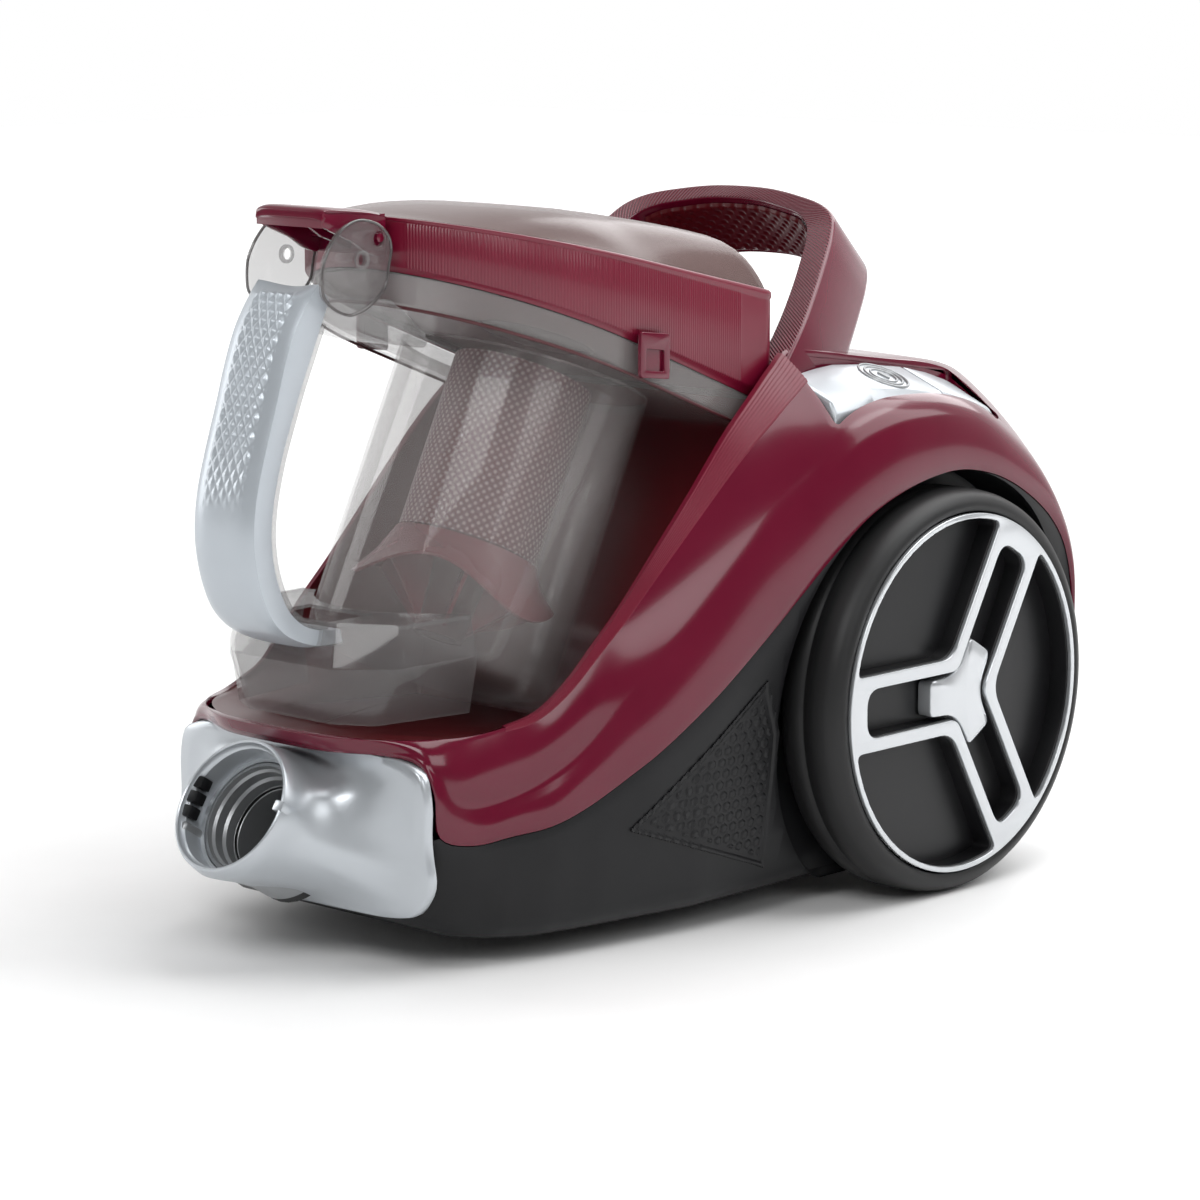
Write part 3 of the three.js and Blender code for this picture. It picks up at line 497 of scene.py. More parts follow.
def housing_skin():
    rows = [side_section(i) for i in range(len(LOWER))]
    side = grid("side", rows)
    deck_rows = []
    for i in range(DECK_START, len(LOWER)):
        rim = RIM[i]
        row = []
        for k in range(13):
            x = rim.x * (1 - k / 6)
            crown = 2.0 * (1 - (x / rim.x) ** 2)
            row.append(Vector((x, rim.y, rim.z + crown * (0.3 if i > 24 * STEPS else 1))))
        deck_rows.append(row)
    deck = grid("deck", deck_rows)
    back = [Vector(p) for p in side_section(len(LOWER) - 1)]
    outline = back + [Vector((-p.x, p.y, p.z)) for p in reversed(back)]
    ring_inner = [Vector((p.x * 0.9, 238.5, lerp(140, p.z, 0.93))) for p in outline]
    rear = grid("rear", [outline, ring_inner], wrap_cols=True)
    cap = piece("cap", ring_inner, [tuple(range(len(ring_inner)))])
    other = mirror_copy(side, "other")
    skin = merged("upper_shell_skin", side, other, deck, rear, cap)
    return face_away(skin, (0, 60, 120))


def pedal_well_outline():
    """The well's rounded corners from above: place along the machine, distance from its middle."""
    return fillet([(53, 95), (181, 95), (181, 129), (53, 129)], 3)


def pedal_cutter(sign):
    rings = [[(sign * x, y, z) for y, x in pedal_well_outline()] for z in (227, 300)]
    return loft("pedal_cutter", rings)


def rear_cutters():
    door = box_mesh("door_cutter", (-54.5, 200, 65.5), (54.5, 260, 150.5))
    outlet = turned("outlet_cutter", [(0, 200), (8.6, 200), (8.6, 260), (0, 260)],
                    Matrix.Translation((72, 0, 118)) @ Matrix.Rotation(math.radians(-90), 4, "X"),
                    32, closed=False)
    return [door, tidy(outlet)]


def shell_height(x, y):
    """Height of the burgundy moulding's outside above a place on its shoulder."""
    i = min(range(len(LOWER)), key=lambda k: abs((CREASE[k].y + RIM[k].y) / 2 - y))
    table = sorted((p.x, p.z) for p in side_section(i)[7:])
    return lookup(table, x)


def upper_shell():
    shell = thicken(housing_skin(), 2.8)
    cut(shell, pedal_cutter(1), pedal_cutter(-1), *rear_cutters())
    bevelled(shell, 0.5, 2, 50)
    show(shell, BURGUNDY, "machine", ["upper_shell"], smooth=38)
    for side, sign in (("left", 1), ("right", -1)):
        rows = []
        well = pedal_well_outline()
        for depth in (0.0, 0.25, 0.5, 0.75, 1.0):
            rows.append([Vector((sign * x, y, lerp(shell_height(x, y) - 0.6, 225, depth))) for y, x in well])
        wall = grid(f"pedal_well_{side}", rows, wrap_cols=True)
        well_floor = piece("well_floor", rows[-1], [tuple(range(len(well)))])
        liner = merged(f"pedal_well_{side}", wall, well_floor)
        face_away(liner, (sign * 112, 117, 400))
        liner.data.flip_normals()
        show(liner, BURGUNDY, "machine")


def rail_trim():
    """The ribbed strip along the bay's edge: long parallel ribs that follow the rail."""
    rows = []
    start, end = 6 * STEPS, DECK_START - 1
    ribs, per_rib = 9, 4
    for i in range(start, end):
        section = side_section(i)
        rim = section[-1]
        width = lookup(RAIL_WIDTH, rim.y)
        path = section[7:]
        lengths = [0.0]
        for a, b in zip(path, path[1:]):
            lengths.append(lengths[-1] + (b - a).length)
        table_x = [(s, p.x) for s, p in zip(lengths, path)]
        table_y = [(s, p.y) for s, p in zip(lengths, path)]
        table_z = [(s, p.z) for s, p in zip(lengths, path)]
        row = []
        total = lengths[-1]
        for k in range(ribs * per_rib + 1):
            t = k / (ribs * per_rib)
            s = total - width * (1 - t)
            wave = 0.5 - 0.5 * math.cos(2 * math.pi * t * ribs)
            height = 0.25 + 0.5 * wave * min(width / 9, 1)
            row.append(Vector((lookup(table_x, s), lookup(table_y, s), lookup(table_z, s) + height)))
        inner = row[-1] + Vector((-2.2, 0, 0.1))
        drop = row[-1] + Vector((-3.0, 0, -7))
        first = row[0] + Vector((0, 0, -0.6))
        rows.append([first] + row + [inner, drop])
    left = grid("rail_trim_left_skin", rows)
    face_away(left, (60, -50, 0))
    right = mirror_copy(left, "rail_trim_right_skin")
    show(left, BURGUNDY_FINE, "machine", ["rail_trim_left"], smooth=60)
    show(right, BURGUNDY_FINE, "machine", ["rail_trim_right"], smooth=60)


def bay():
    """The tub in the housing that the bin stands in."""
    half = [RIM[i] for i in range(DECK_START, -1, -2)]
    loop = [p + Vector((-2.6 if p.y > -150 else -1.0, 3 if p.y < -150 else 0, -0.5)) for p in half]
    loop += [Vector((-p.x, p.y, p.z)) for p in reversed(loop)]
    floor_z = 93.0
    rings = []
    for k in range(13):
        t = k / 12
        ring = []
        for p in loop:
            bottom = Vector((p.x * 0.7, lerp(-60, p.y, 0.8) if p.y < -60 else lerp(-34, p.y, 0.0),
                             floor_z - 0.1 * (p.y + 60) * (1 if p.y < -60 else 0)))
            side = ease(t) if p.y < 40 else t
            ring.append(Vector((lerp(p.x, bottom.x, ease(t)), lerp(p.y, bottom.y, side),
                                lerp(p.z, bottom.z, t))))
        rings.append(ring)
    cols = len(rings[0])
    verts = [v for ring in rings for v in ring]
    faces = grid_faces(len(rings), cols, False, True)
    faces.append(tuple(range((len(rings) - 1) * cols, len(rings) * cols)))
    tub = piece("bin_bay", verts, faces)
    face_away(tub, (0, -60, 160))
    show(tub, DARK_RED, "machine", ["bin_cradle"], smooth=50)


BASE_LOW = [(-176, 46), (-172, 60), (-155, 77), (-138, 90), (-114, 99), (-88, 105), (-28, 114.5),
            (20, 114.5), (200, 113.5), (228, 108), (238.5, 100)]
BASE_BOTTOM = [(-176, 30), (-170, 23), (-150, 14), (-120, 11.2), (200, 11.2), (228, 20), (238.5, 34)]


def base_section(i):
    """Half a section of the black base, from the waist down and round underneath."""
    low = LOWER[i]
    y = low.y
    side = Vector((lookup(BASE_LOW, y), y, lookup(BASE_BOTTOM, y) + 12))
    foot = Vector((lookup(BASE_LOW, y) - 11, y, lookup(BASE_BOTTOM, y)))
    top = Vector((low.x - 0.4, y, low.z - 0.5))
    points = []
    for k in range(9):
        t = k / 8
        p = top.lerp(side, t)
        p.x += 1.5 * math.sin(math.pi * t)
        points.append(p)
    for k in range(1, 5):
        t = k / 4
        corner = Vector((side.x - 1.5, y, foot.z + 1.5))
        p = side * (1 - t) ** 2 + corner * 2 * t * (1 - t) + foot * t * t
        points.append(p)
    return points


def base_pan():
    rings = []
    first = 5 * STEPS
    for i in range(first, len(LOWER)):
        half = base_section(i)
        y = half[0].y
        ceiling = half[0].z - 2 if y > 229 else min(half[0].z - 2, 78)
        inner = [Vector((half[0].x - 5, y, half[0].z - 1)), Vector((min(half[0].x - 6, 98), y, ceiling))]
        left = list(reversed(inner)) + half
        right = [Vector((-p.x, p.y, p.z)) for p in reversed(left)]
        rings.append(left + right)
    front = [Vector((p.x * 0.96, -173, lerp(50, p.z, 0.92))) for p in rings[0]]
    rings.insert(0, front)
    rings.append([Vector((p.x, 238.45, p.z)) for p in rings[-1]])
    base = loft("base_skin", rings)
    arch = [(0, 112.0), (108.8, 112.0), (108.8, 200), (0, 200)]
    left_arch = turned("arch_left", arch, WHEEL_FRAME, 72, closed=False)
    right_arch = mirror_copy(left_arch, "arch_right")
    well = turned("caster_well", [(0, -5), (32, -5), (32, 46), (0, 46)], Matrix.Translation((0, -70, 0)),
                  48, closed=False)
    bore = turned("bore", [(0, -80), (27.6, -80), (27.6, 30), (0, 30)], MOUTH_FRAME, 48, closed=False)
    for cutter in (left_arch, well, bore):
        tidy(cutter)
    cut(base, left_arch, right_arch, well, bore, *rear_cutters())
    bevelled(base, 0.6, 2, 50)
    show(base, BLACK, "machine", ["base_pan"], smooth=35)


def arch_liner():
    """The inside of the wheel arch: a round band and the wall behind the wheel."""
    rows = []
    for k in range(97):
        a = 2 * math.pi * k / 96
        y, z = AXLE_Y + 109 * math.cos(a), AXLE_Z + 109 * math.sin(a)
        reach = 113.2 + max(min((z - 24) / 184, 1), 0) ** 0.8 * 26.5
        if z < 24:
            reach = 112.6
        rows.append([Vector((111.6, AXLE_Y + 12 * math.cos(a), AXLE_Z + 12 * math.sin(a))),
                     Vector((111.6, AXLE_Y + 60 * math.cos(a), AXLE_Z + 60 * math.sin(a))),
                     Vector((111.6, y - 2 * math.cos(a), z - 2 * math.sin(a))),
                     Vector((113.0, y, z)), Vector((reach, y, z))])
    clipped = [[Vector((p.x, p.y, max(p.z, 11.5))) for p in row] for row in rows]
    liner = grid("arch_liner_left", clipped)
    face_away(liner, (300, AXLE_Y, AXLE_Z))
    liner.data.flip_normals()
    other = mirror_copy(liner, "arch_liner_right")
    show(liner, BLACK, "machine")
    show(other, BLACK, "machine")


def inside_outline(y, z, outline):
    """Distance of a point inside a convex outline to its nearest edge; negative outside."""
    best = 1e9
    count = len(outline)
    for i in range(count):
        a, b = outline[i], outline[(i + 1) % count]
        ex, ey = b[0] - a[0], b[1] - a[1]
        best = min(best, (ex * (z - a[1]) - ey * (y - a[0])) / math.hypot(ex, ey))
    return best


def side_surface(y, z):
    """X of the black skirt's outside at a place seen from the side."""
    best = min(range(5 * STEPS, len(LOWER)), key=lambda i: abs(LOWER[i].y - y))
    half = base_section(best)
    table = sorted((p.z, p.x) for p in half)
    return lookup(table, z)


def side_panel():
    """The sunk triangular panel with rows of small hexagonal studs."""
    outline = [(-71, 58), (16, 27), (13, 92), (3, 116)]
    pitch = 6.4
    rows = []
    cols = 150
    for i in range(150):
        z = lerp(24, 120, i / 149)
        row = []
        for j in range(cols):
            y = lerp(-74, 18, j / (cols - 1))
            inside = inside_outline(y, z, outline)
            x = side_surface(y, z)
            edge = ease(min(max((inside + 0.5) / 2.0, 0), 1))
            height = 0.25 - 1.1 * edge
            if inside > 3:
                line = round(z / (pitch * 0.866))
                shift = 0.5 * (line % 2)
                cell = round(y / pitch - shift) + shift
                dy, dz = y - cell * pitch, z - line * pitch * 0.866
                far = max(abs(dy), abs(dy) * 0.5 + abs(dz) * 0.866) * 2 / pitch
                height += 0.95 * ease(min(max((0.86 - far) / 0.3, 0), 1))
            row.append(Vector((x + height + 0.5, y, z)))
        rows.append(row)
    keep = piece("panel_grid", [v for row in rows for v in row], [
        f for f in grid_faces(len(rows), cols)
        if inside_outline(rows[0][f[0] % cols].y, rows[f[0] // cols][0].z, outline) > -2.0
    ])
    face_away(keep, (0, -30, 60))
    left = thicken(keep, 0.9)
    left.name = "side_panel_left_skin"
    right = mirror_copy(left, "side_panel_right_skin")
    show(left, BLACK, "machine", ["side_panel_left"], smooth=60)
    show(right, BLACK, "machine", ["side_panel_right"], smooth=60)


# ---------------------------------------------------------------- carry handle
HANDLE_UP = Vector((0, 0.717, 0.697))
HANDLE_OUT = Vector((0, -0.697, 0.717))
HANDLE_FOOT = Vector((0, 60, 271))


def handle_point(x, v, w):
    return HANDLE_FOOT + HANDLE_UP * v + HANDLE_OUT * w + Vector((x, 0, 0))


def mirrored_path(half, steps):
    """A smooth symmetric path from half of its points, given from the foot to the middle."""
    full = half + [(-x, v) for x, v in reversed(half[:-1])]
    return catmull([(x, v, 0) for x, v in full], steps)


def carry_handle():
    outer = mirrored_path([(97, -12), (93.5, 12), (88, 34), (81.5, 56), (76, 72), (69.5, 83.5), (58, 91),
                           (40, 96), (20, 99.5), (0, 100.4)], 7)
    inner = mirrored_path([(81, -12), (77.5, 12), (72.5, 34), (66.5, 54), (61.5, 68), (55.5, 77.5),
                           (46, 83.5), (32, 87.2), (16, 90.3), (0, 91)], 7)
    rings = []
    for a, b in zip(outer, inner):
        across = (b - a)
        depth = -42.0
        section = []
        corners = [(0.0, 0.0), (1.0, 0.0), (1.0, 1.0), (0.0, 1.0)]
        size = Vector((across.length, abs(depth)))
        flat = fillet([(c[0] * size.x, c[1] * size.y) for c in corners], [2.4, 1.6, 1.6, 4.0], 5)
        for s, d in flat:
            t = s / size.x
            p = a + across * t
            bulge = 1.1 * math.sin(math.pi * min(d / size.y, 1)) * (1 if t < 0.01 else 0)
            out_dir = -across.normalized()
            section.append(handle_point(p.x + out_dir.x * bulge, p.y + out_dir.y * bulge,
                                        lerp(0, depth, d / size.y)))
        rings.append(section)
    cols = len(rings[0])
    verts = [v for ring in rings for v in ring]
    handle = piece("carry_handle_skin", verts, grid_faces(len(rings), cols, False, True))
    uv_by_rows(handle, len(rings), cols)
    tidy(handle)
    handle.data.materials.append(HANDLE_SMOOTH)
    handle.data.materials.append(HANDLE_LINED)
    for polygon in handle.data.polygons:
        polygon.use_smooth = True
        facing = polygon.normal.dot(HANDLE_OUT)
        polygon.material_index = 1 if facing > 0.75 else 0
    handle.data.set_sharp_from_angle(angle=math.radians(50))
    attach(handle, "machine")
    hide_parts("carry_handle")
    # A row of dimples lines the underside of the grip.
    rows = []
    half = [(54, 77.5), (46, 83.1), (32, 86.8), (16, 89.9), (0, 90.6)]
    under = mirrored_path(half, 24)
    for index, p in enumerate(under):
        row = []
        for k in range(61):
            w = lerp(-4, -39, k / 60)
            cell = math.sin(index * 2 * math.pi / 12) * math.sin(k * 2 * math.pi / 12)
            edge = min(k, 60 - k, index, len(under) - 1 - index)
            lower = 1.5 * min(edge / 3, 1) - 0.55 * max(cell, 0)
            row.append(handle_point(p.x, p.y - lower, w))
        rows.append(row)
    pad = grid("handle_grip_skin", rows)
    face_away(pad, tuple(handle_point(0, 110, -20)))
    show(pad, DARK_RED, "machine", ["handle_grip_pad"], smooth=60)


HANDLE_SMOOTH = plastic("handle_gloss", (0.115, 0.0012, 0.017), 0.2, spread=0.06, grain=500, bump=0.012,
                        coat=0.4, rough_spread=0.03)
HANDLE_LINED = add_stripes(
    plastic("handle_lined", (0.16, 0.002, 0.02), 0.32, spread=0.06, grain=1500, bump=0.02, coat=0.2),
    0.0015, math.radians(52), 0.9)


# ---------------------------------------------------------------- hose inlet
def plate_outline(inset=0.0):
    half = [(0, 101.2), (66, 101.2), (80, 96), (83.4, 82), (82.4, 62), (86.5, 43), (76, 28.5), (56, 26),
            (0, 25.6)]
    points = half + [(-x, z) for x, z in reversed(half[1:-1])]
    outline = fillet([((abs(x) - inset) * (1 if x >= 0 else -1) if x else 0, z) for x, z in points],
                     [0.1, 7, 5, 8, 8, 7, 7, 8, 0.1, 8, 7, 7, 8, 8, 5, 7], 6)
    return [Vector((p.x, 0, p.y)) for p in outline]


def by_angle(points, centre, count):
    """Resamples a star-shaped outline at even turns about its centre (x, z)."""
    out = []
    for k in range(count):
        a = 2 * math.pi * k / count
        ray = Vector((math.cos(a), math.sin(a)))
        for p, q in zip(points, points[1:] + points[:1]):
            u = Vector((p.x - centre[0], p.z - centre[1]))
            v = Vector((q.x - centre[0], q.z - centre[1]))
            edge = v - u
            cross = ray.x * edge.y - ray.y * edge.x
            if abs(cross) < 1e-9:
                continue
            reach = (u.x * edge.y - u.y * edge.x) / cross
            along = (u.x * ray.y - u.y * ray.x) / cross
            if reach > 0 and -1e-6 <= along <= 1 + 1e-6:
                out.append(Vector((centre[0] + ray.x * reach, 0, centre[1] + ray.y * reach)))
                break
    return out


def inlet_cover():
    count = 144
    outline = by_angle(plate_outline(), (0, 62), count)
    mouth = []
    for k in range(count):
        a = 2 * math.pi * k / count
        mouth.append(Vector((32.6 * math.cos(a), 32.6 * math.sin(a), 0)))
    axis = (MOUTH_FRAME.to_3x3() @ Vector((0, 0, 1)))

    def ring_at(radius, depth):
        return [MOUTH_FRAME @ Vector((m.x * radius / 32.6, m.y * radius / 32.6, depth)) for m in mouth]

    lip = ring_at(32.6, -1.0)
    collar = ring_at(33.6, -7.0)
    plate = [Vector((p.x, -180.5 + 0.00035 * p.x * p.x, p.z)) for p in outline]
    rings = [ring_at(27.8, -30), ring_at(27.8, -15.5), ring_at(29.4, -15), ring_at(29.4, -4),
             ring_at(30.6, -3), ring_at(30.9, -0.4), ring_at(31.5, 0), ring_at(32.2, -0.2), lip, collar]
    for k in range(1, 13):
        t = k / 12
        spread = t ** 2.1
        ring = []
        for a, b in zip(collar, plate):
            straight = a - axis * (26 * t)
            p = straight.lerp(b, spread)
            p.y = lerp(straight.y, b.y, ease(t) * 0.75 + 0.25 * t)
            ring.append(p)
        rings.append(ring)
    edge = [Vector((p.x * 1.004, -177.5 + 0.00035 * p.x * p.x, p.z)) for p in outline]
    back = [Vector((p.x, -173.2, p.z)) for p in outline]
    rings[-1] = [Vector((p.x * 0.985, p.y, lerp(62, p.z, 0.985))) for p in plate]
    rings += [[Vector((p.x * 0.998, p.y + 0.7, lerp(62, p.z, 0.998))) for p in plate], edge, back]
    cover = grid("inlet_cover_skin", rings, wrap_cols=True)
    face_away(cover, (0, -150, 62))
    show(cover, SILVER, "machine", ["inlet_cover"], smooth=48)


def inlet_socket():
    profile = [(20.5, -48), (27, -48), (27, -24), (27.4, -16), (25.6, -15.4), (25.2, -18), (24, -19),
               (24, -24), (22.6, -25), (22.2, -30), (20.5, -31)]
    socket = turned("inlet_socket_skin", profile, MOUTH_FRAME, 96)
    show(socket, SOCKET_GREY, "machine", ["inlet_socket"])
    throat = turned("inlet_throat", [(20.9, -29), (20.9, -62), (18, -66), (0, -66)], MOUTH_FRAME, 64,
                    closed=False)
    face_away(throat, tuple(MOUTH_FRAME @ Vector((0, 0, -20))))
    show(throat, RUBBER, "machine")
    teeth = []
    for k in range(3):
        low = (-31.0, -9 + k * 7.2, -9)
        teeth.append(box_mesh("tooth", low, (-25.5, low[1] + 5.6, -2.2)))
    block = merged("hose_catch", *teeth)
    block.data.transform(MOUTH_FRAME_M)
    bevelled(block, 0.7, 2)
    show(block, BLACK_SATIN, "machine")
    rib = loft("hose_rib", [[(x, y, z) for x, z in ((-30.2, -16), (-25.4, -16), (-25.4, -3), (-30.2, -3))]
                            for y in (-17.5, -11)])
    rib.data.transform(MOUTH_FRAME_M)
    bevelled(rib, 1.8, 4)
    show(rib, SOCKET_GREY, "machine")
    notch = loft("hose_stop", [[(x, y, z) for x, z in ((27.0, -12), (33.2, -12), (33.2, 0.0), (27.0, 0.0))]
                               for y in (2, 7)])
    notch.data.transform(MOUTH_FRAME_M)
    bevelled(notch, 0.6, 2)
    show(notch, SILVER, "machine")


MOUTH_FRAME_M = Matrix.Translation(MOUTH_FRAME.translation * MM) @ MOUTH_FRAME.to_3x3().to_4x4()


# ---------------------------------------------------------------- wheels
def turned_about(point, degrees):
    a = math.radians(degrees)
    x, y = point
    return (x * math.cos(a) - y * math.sin(a), x * math.sin(a) + y * math.cos(a))


SPOKES = (60, 180, 300)


def pocket_outline(middle, grow=0.0):
    """The sunk field between two double spokes, about its middle direction."""
    half, rim = 18.5 - grow, 86.0 + grow
    inner = half / math.sin(math.radians(60))
    end_angle = 60 - math.degrees(math.asin(half / rim))
    corner = [turned_about((rim, 0), a) for a in (-end_angle, end_angle)]
    arc = [turned_about((rim, 0), lerp(-end_angle, end_angle, k / 16)) for k in range(1, 16)]
    points = [(inner, 0), corner[0]] + arc + [corner[1]]
    radii = [9, 7] + [0] * 15 + [7]
    return [turned_about(p, middle) for p in fillet(points, radii, 6)]


def slot_outline(shrink=0.0):
    """The three slots between the spoke pairs, joined at the hub."""
    half, end = 12.0 - shrink, 76.5 - shrink
    inner = half / math.sin(math.radians(60))
    points = []
    radii = []
    for spoke in SPOKES:
        points.append(turned_about((inner, 0), spoke - 60))
        points.append(turned_about((end, -half), spoke))
        points.append(turned_about((end, half), spoke))
        radii += [5, 9, 9]
    return fillet(points, radii, 7)


def sheet_with_holes(name, outer, holes, low, high, matrix, bevel=0.0):
    """A flat shape with holes, extruded along local Z, with softened edges."""
    curve = bpy.data.curves.new(name, "CURVE")
    curve.dimensions = "2D"
    curve.fill_mode = "BOTH"
    curve.extrude = (high - low) / 2 - bevel
    curve.bevel_depth = bevel
    curve.bevel_resolution = 2
    curve.offset = -bevel
    for outline in [outer] + holes:
        spline = curve.splines.new("POLY")
        spline.points.add(len(outline) - 1)
        for target, point in zip(spline.points, outline):
            target.co = (point[0], point[1], 0, 1)
        spline.use_cyclic_u = True
    holder = bpy.data.objects.new(name + "_curve", curve)
    bpy.context.scene.collection.objects.link(holder)
    graph = bpy.context.evaluated_depsgraph_get()
    mesh = bpy.data.meshes.new_from_object(holder.evaluated_get(graph))
    bpy.data.objects.remove(holder)
    mesh.transform(Matrix.Translation((0, 0, (low + high) / 2)))
    mesh.transform(matrix)
    mesh.transform(Matrix.Scale(MM, 4))
    obj = bpy.data.objects.new(name, mesh)
    bpy.context.scene.collection.objects.link(obj)
    return tidy(obj)


def circle(radius, count=128):
    return [turned_about((radius, 0), 360 * k / count) for k in range(count)]


def wheel(side, body, sign):
    matrix = WHEEL_FRAME

    def fit(obj, name):
        if sign > 0:
            obj.name = name
            return obj
        other = mirror_copy(obj, name)
        bpy.data.objects.remove(obj)
        return other

    profile = [(89.2, 119), (94, 118.2), (97.5, 119.2), (99.4, 122), (100, 127), (100, 133), (99.3, 133.8),
               (99.3, 134.6), (100, 135.4), (99.95, 141), (99.4, 146), (98, 150), (95.6, 152.6),
               (92.5, 153.9), (90, 153.7), (89.2, 152.6)]
    tyre = fit(turned("tyre", profile, matrix, 144), f"tyre_{side}_skin")
    show(tyre, TYRE, body, [f"tyre_{side}"], smooth=50)

    pockets = [pocket_outline(middle, -0.4) for middle in (0, 120, 240)]
    face = sheet_with_holes("face", circle(88.6), pockets + [slot_outline(0.4)], 141, 152.4, matrix, 0.5)
    web = turned("web", [(9.6, 119), (20, 119), (20, 138), (83, 138), (84, 120), (88.8, 120), (88.8, 142),
                         (60, 143.2), (20, 144.6), (9.6, 145)], matrix, 96)
    disc = fit(merged("disc", face, web), f"wheel_disc_{side}_skin")
    show(disc, BLACK_SATIN, body, [f"wheel_disc_{side}"], smooth=35)

    holes = [pocket_outline(middle) for middle in (0, 120, 240)]
    trim = fit(sheet_with_holes("trim", circle(88.6), holes + [slot_outline()], 152.5, 155, matrix, 0.45),
               f"wheel_trim_{side}_skin")
    show(trim, SILVER_BRIGHT, body, [f"wheel_trim_{side}"], smooth=35)

    lobes = []
    radii = []
    for spoke in SPOKES:
        lobes.append(turned_about((11.5, 0), spoke - 60))
        lobes.append(turned_about((26, -9), spoke))
        lobes.append(turned_about((26, 9), spoke))
        radii += [11, 3.5, 3.5]
    outline = fillet(lobes, radii, 7)
    rings = []
    for scale, height in ((1.0, 145.4), (1.0, 151.8), (0.985, 152.8), (0.95, 153.3), (0.7, 153.9),
                          (0.4, 154.2), (0.1, 154.3)):
        rings.append([(u * scale, v * scale, height) for u, v in outline])
    cap = fit(loft("cap", rings, matrix=matrix), f"hub_cap_{side}_skin")
    show(cap, SILVER_BRIGHT, body, [f"hub_cap_{side}"], smooth=35)


# ---------------------------------------------------------------- pedals
SPRING_X, SPRING_Y = 112, 70
POCKET_R, POCKET_LOW, POCKET_TOP = 7, 222, 238


def pedal_section(y, top_in, top_out, face, low_in, low_out):
    """Inner top, ridge, outer top and the two lower corners of a pedal at one place."""
    inner, outer = 97.5, 127.0
    return [(inner, y, low_in), (outer, y, low_out), (outer, y, low_out + face), (outer - 3.5, y, top_out),
            (inner + 0.5, y, top_in)]


def pedal(side, body, sign):
    stations = [
        (54.0, 256.0, 246.0, 9.5, 240, 229), (56.0, 257.5, 247.5, 11.5, 240, 229),
        (72, 259.5, 250.0, 10.5, 240, 231), (84, 260.4, 250.8, 9.0, 240, 234),
        (86, 260.5, 250.9, 9.0, 240, 234), (112, 258.6, 248.6, 8.2, 240, 235),
        (139, 255.2, 245.0, 7.2, 240, 235),
    ]
    rings = [[(sign * x, y, z) for x, y, z in pedal_section(*s)] for s in stations]
    body_mesh = loft(f"pedal_{side}_skin", rings)
    mod = body_mesh.modifiers.new("bevel", "BEVEL")
    mod.width = 0.0012
    mod.segments = 3
    mod.limit_method = "ANGLE"
    mod.angle_limit = math.radians(24)
    apply_modifiers(body_mesh)
    # A round pocket underneath takes the return spring's end as the pedal comes down.
    profile = [(0, POCKET_LOW), (POCKET_R, POCKET_LOW), (POCKET_R, POCKET_TOP), (0, POCKET_TOP)]
    pocket = turned("spring_pocket", profile, Matrix.Translation((sign * SPRING_X, SPRING_Y, 0)), 32,
                    closed=False)
    cut(body_mesh, tidy(pocket))
    show(body_mesh, SILVER, body, [f"pedal_{side}"], smooth=30)

    # Three raised rings and a plain bar mark where the foot goes.
    normal = Vector((sign * 0.355, 0.08, 0.93)).normalized()
    centre = Vector((sign * 111, 110, 253.8))
    turn = normal.to_track_quat("Z", "Y").to_matrix().to_4x4()
    matrix = Matrix.Translation(centre) @ turn
    rings3 = []
    for radius in (7.0, 10.0, 13.0):
        profile = [(radius - 0.7, -0.5), (radius - 0.45, 0.42), (radius, 0.62), (radius + 0.45, 0.42),
                   (radius + 0.7, -0.5)]
        rings3.append(turned("ring", profile, matrix, 64))
    bar = box_mesh("bar", (-0.9, -3.4, -0.5), (0.9, 3.4, 0.7), matrix)
    marks = merged(f"pedal_marks_{side}", *rings3, bevelled(bar, 0.3, 2))
    show(marks, SOCKET_GREY, body, smooth=60)

    tail = loft(f"pedal_tail_{side}_skin", [
        [(sign * x, y, z) for x, y, z in pedal_section(*s)] for s in (
            (140.2, 255.0, 244.8, 7.0, 236, 231), (158, 251.0, 240.0, 5.0, 234, 229),
            (172, 246.6, 235.4, 3.4, 232, 227), (179, 244.0, 232.6, 2.5, 230, 226))
    ])
    bevelled(tail, 1.2, 3, 24)
    show(tail, SILVER, "machine", [f"pedal_tail_{side}"], smooth=30)


# ---------------------------------------------------------------- lid and bin outlines
def lid_plan(inset, arc=72, straight=14):
    """The lid's outline in plan: a half circle at the front and straight sides to the rear."""
    points = []
    half, r, rear = LID_HALF - inset, LID_R - inset, LID_REAR - inset
    turn = max(LID_CORNER - inset, 1.0)
    bend = []
    for k in range(1, 8):
        a = math.pi / 2 * k / 8
        bend.append((half - turn + turn * math.cos(a), rear - turn + turn * math.sin(a)))
    side_end = rear - turn
    points += list(reversed(bend))
    bulged = half + (r - half) * 0.5
    for k in range(straight):
        points.append((lerp(half, bulged, k / straight), lerp(side_end, LID_Y, k / straight)))
    for k in range(arc + 1):
        a = -math.pi * k / arc
        side = 1 - 0.011 * abs(math.cos(a)) ** 8
        points.append((r * side * math.cos(a), LID_Y + r * math.sin(a)))
    for k in range(1, straight + 1):
        points.append((-lerp(bulged, half, k / straight), lerp(LID_Y, side_end, k / straight)))
    points += [(-x, y) for x, y in bend]
    corner, edge = 9, half - turn
    rear_row = [(lerp(-edge, edge, k / corner), rear) for k in range(corner + 1)]
    return points + rear_row


def on_plane(plane, points, shift=0.0):
    z, slope = plane
    return [Vector((x, y, z + slope * y + shift)) for x, y in points]


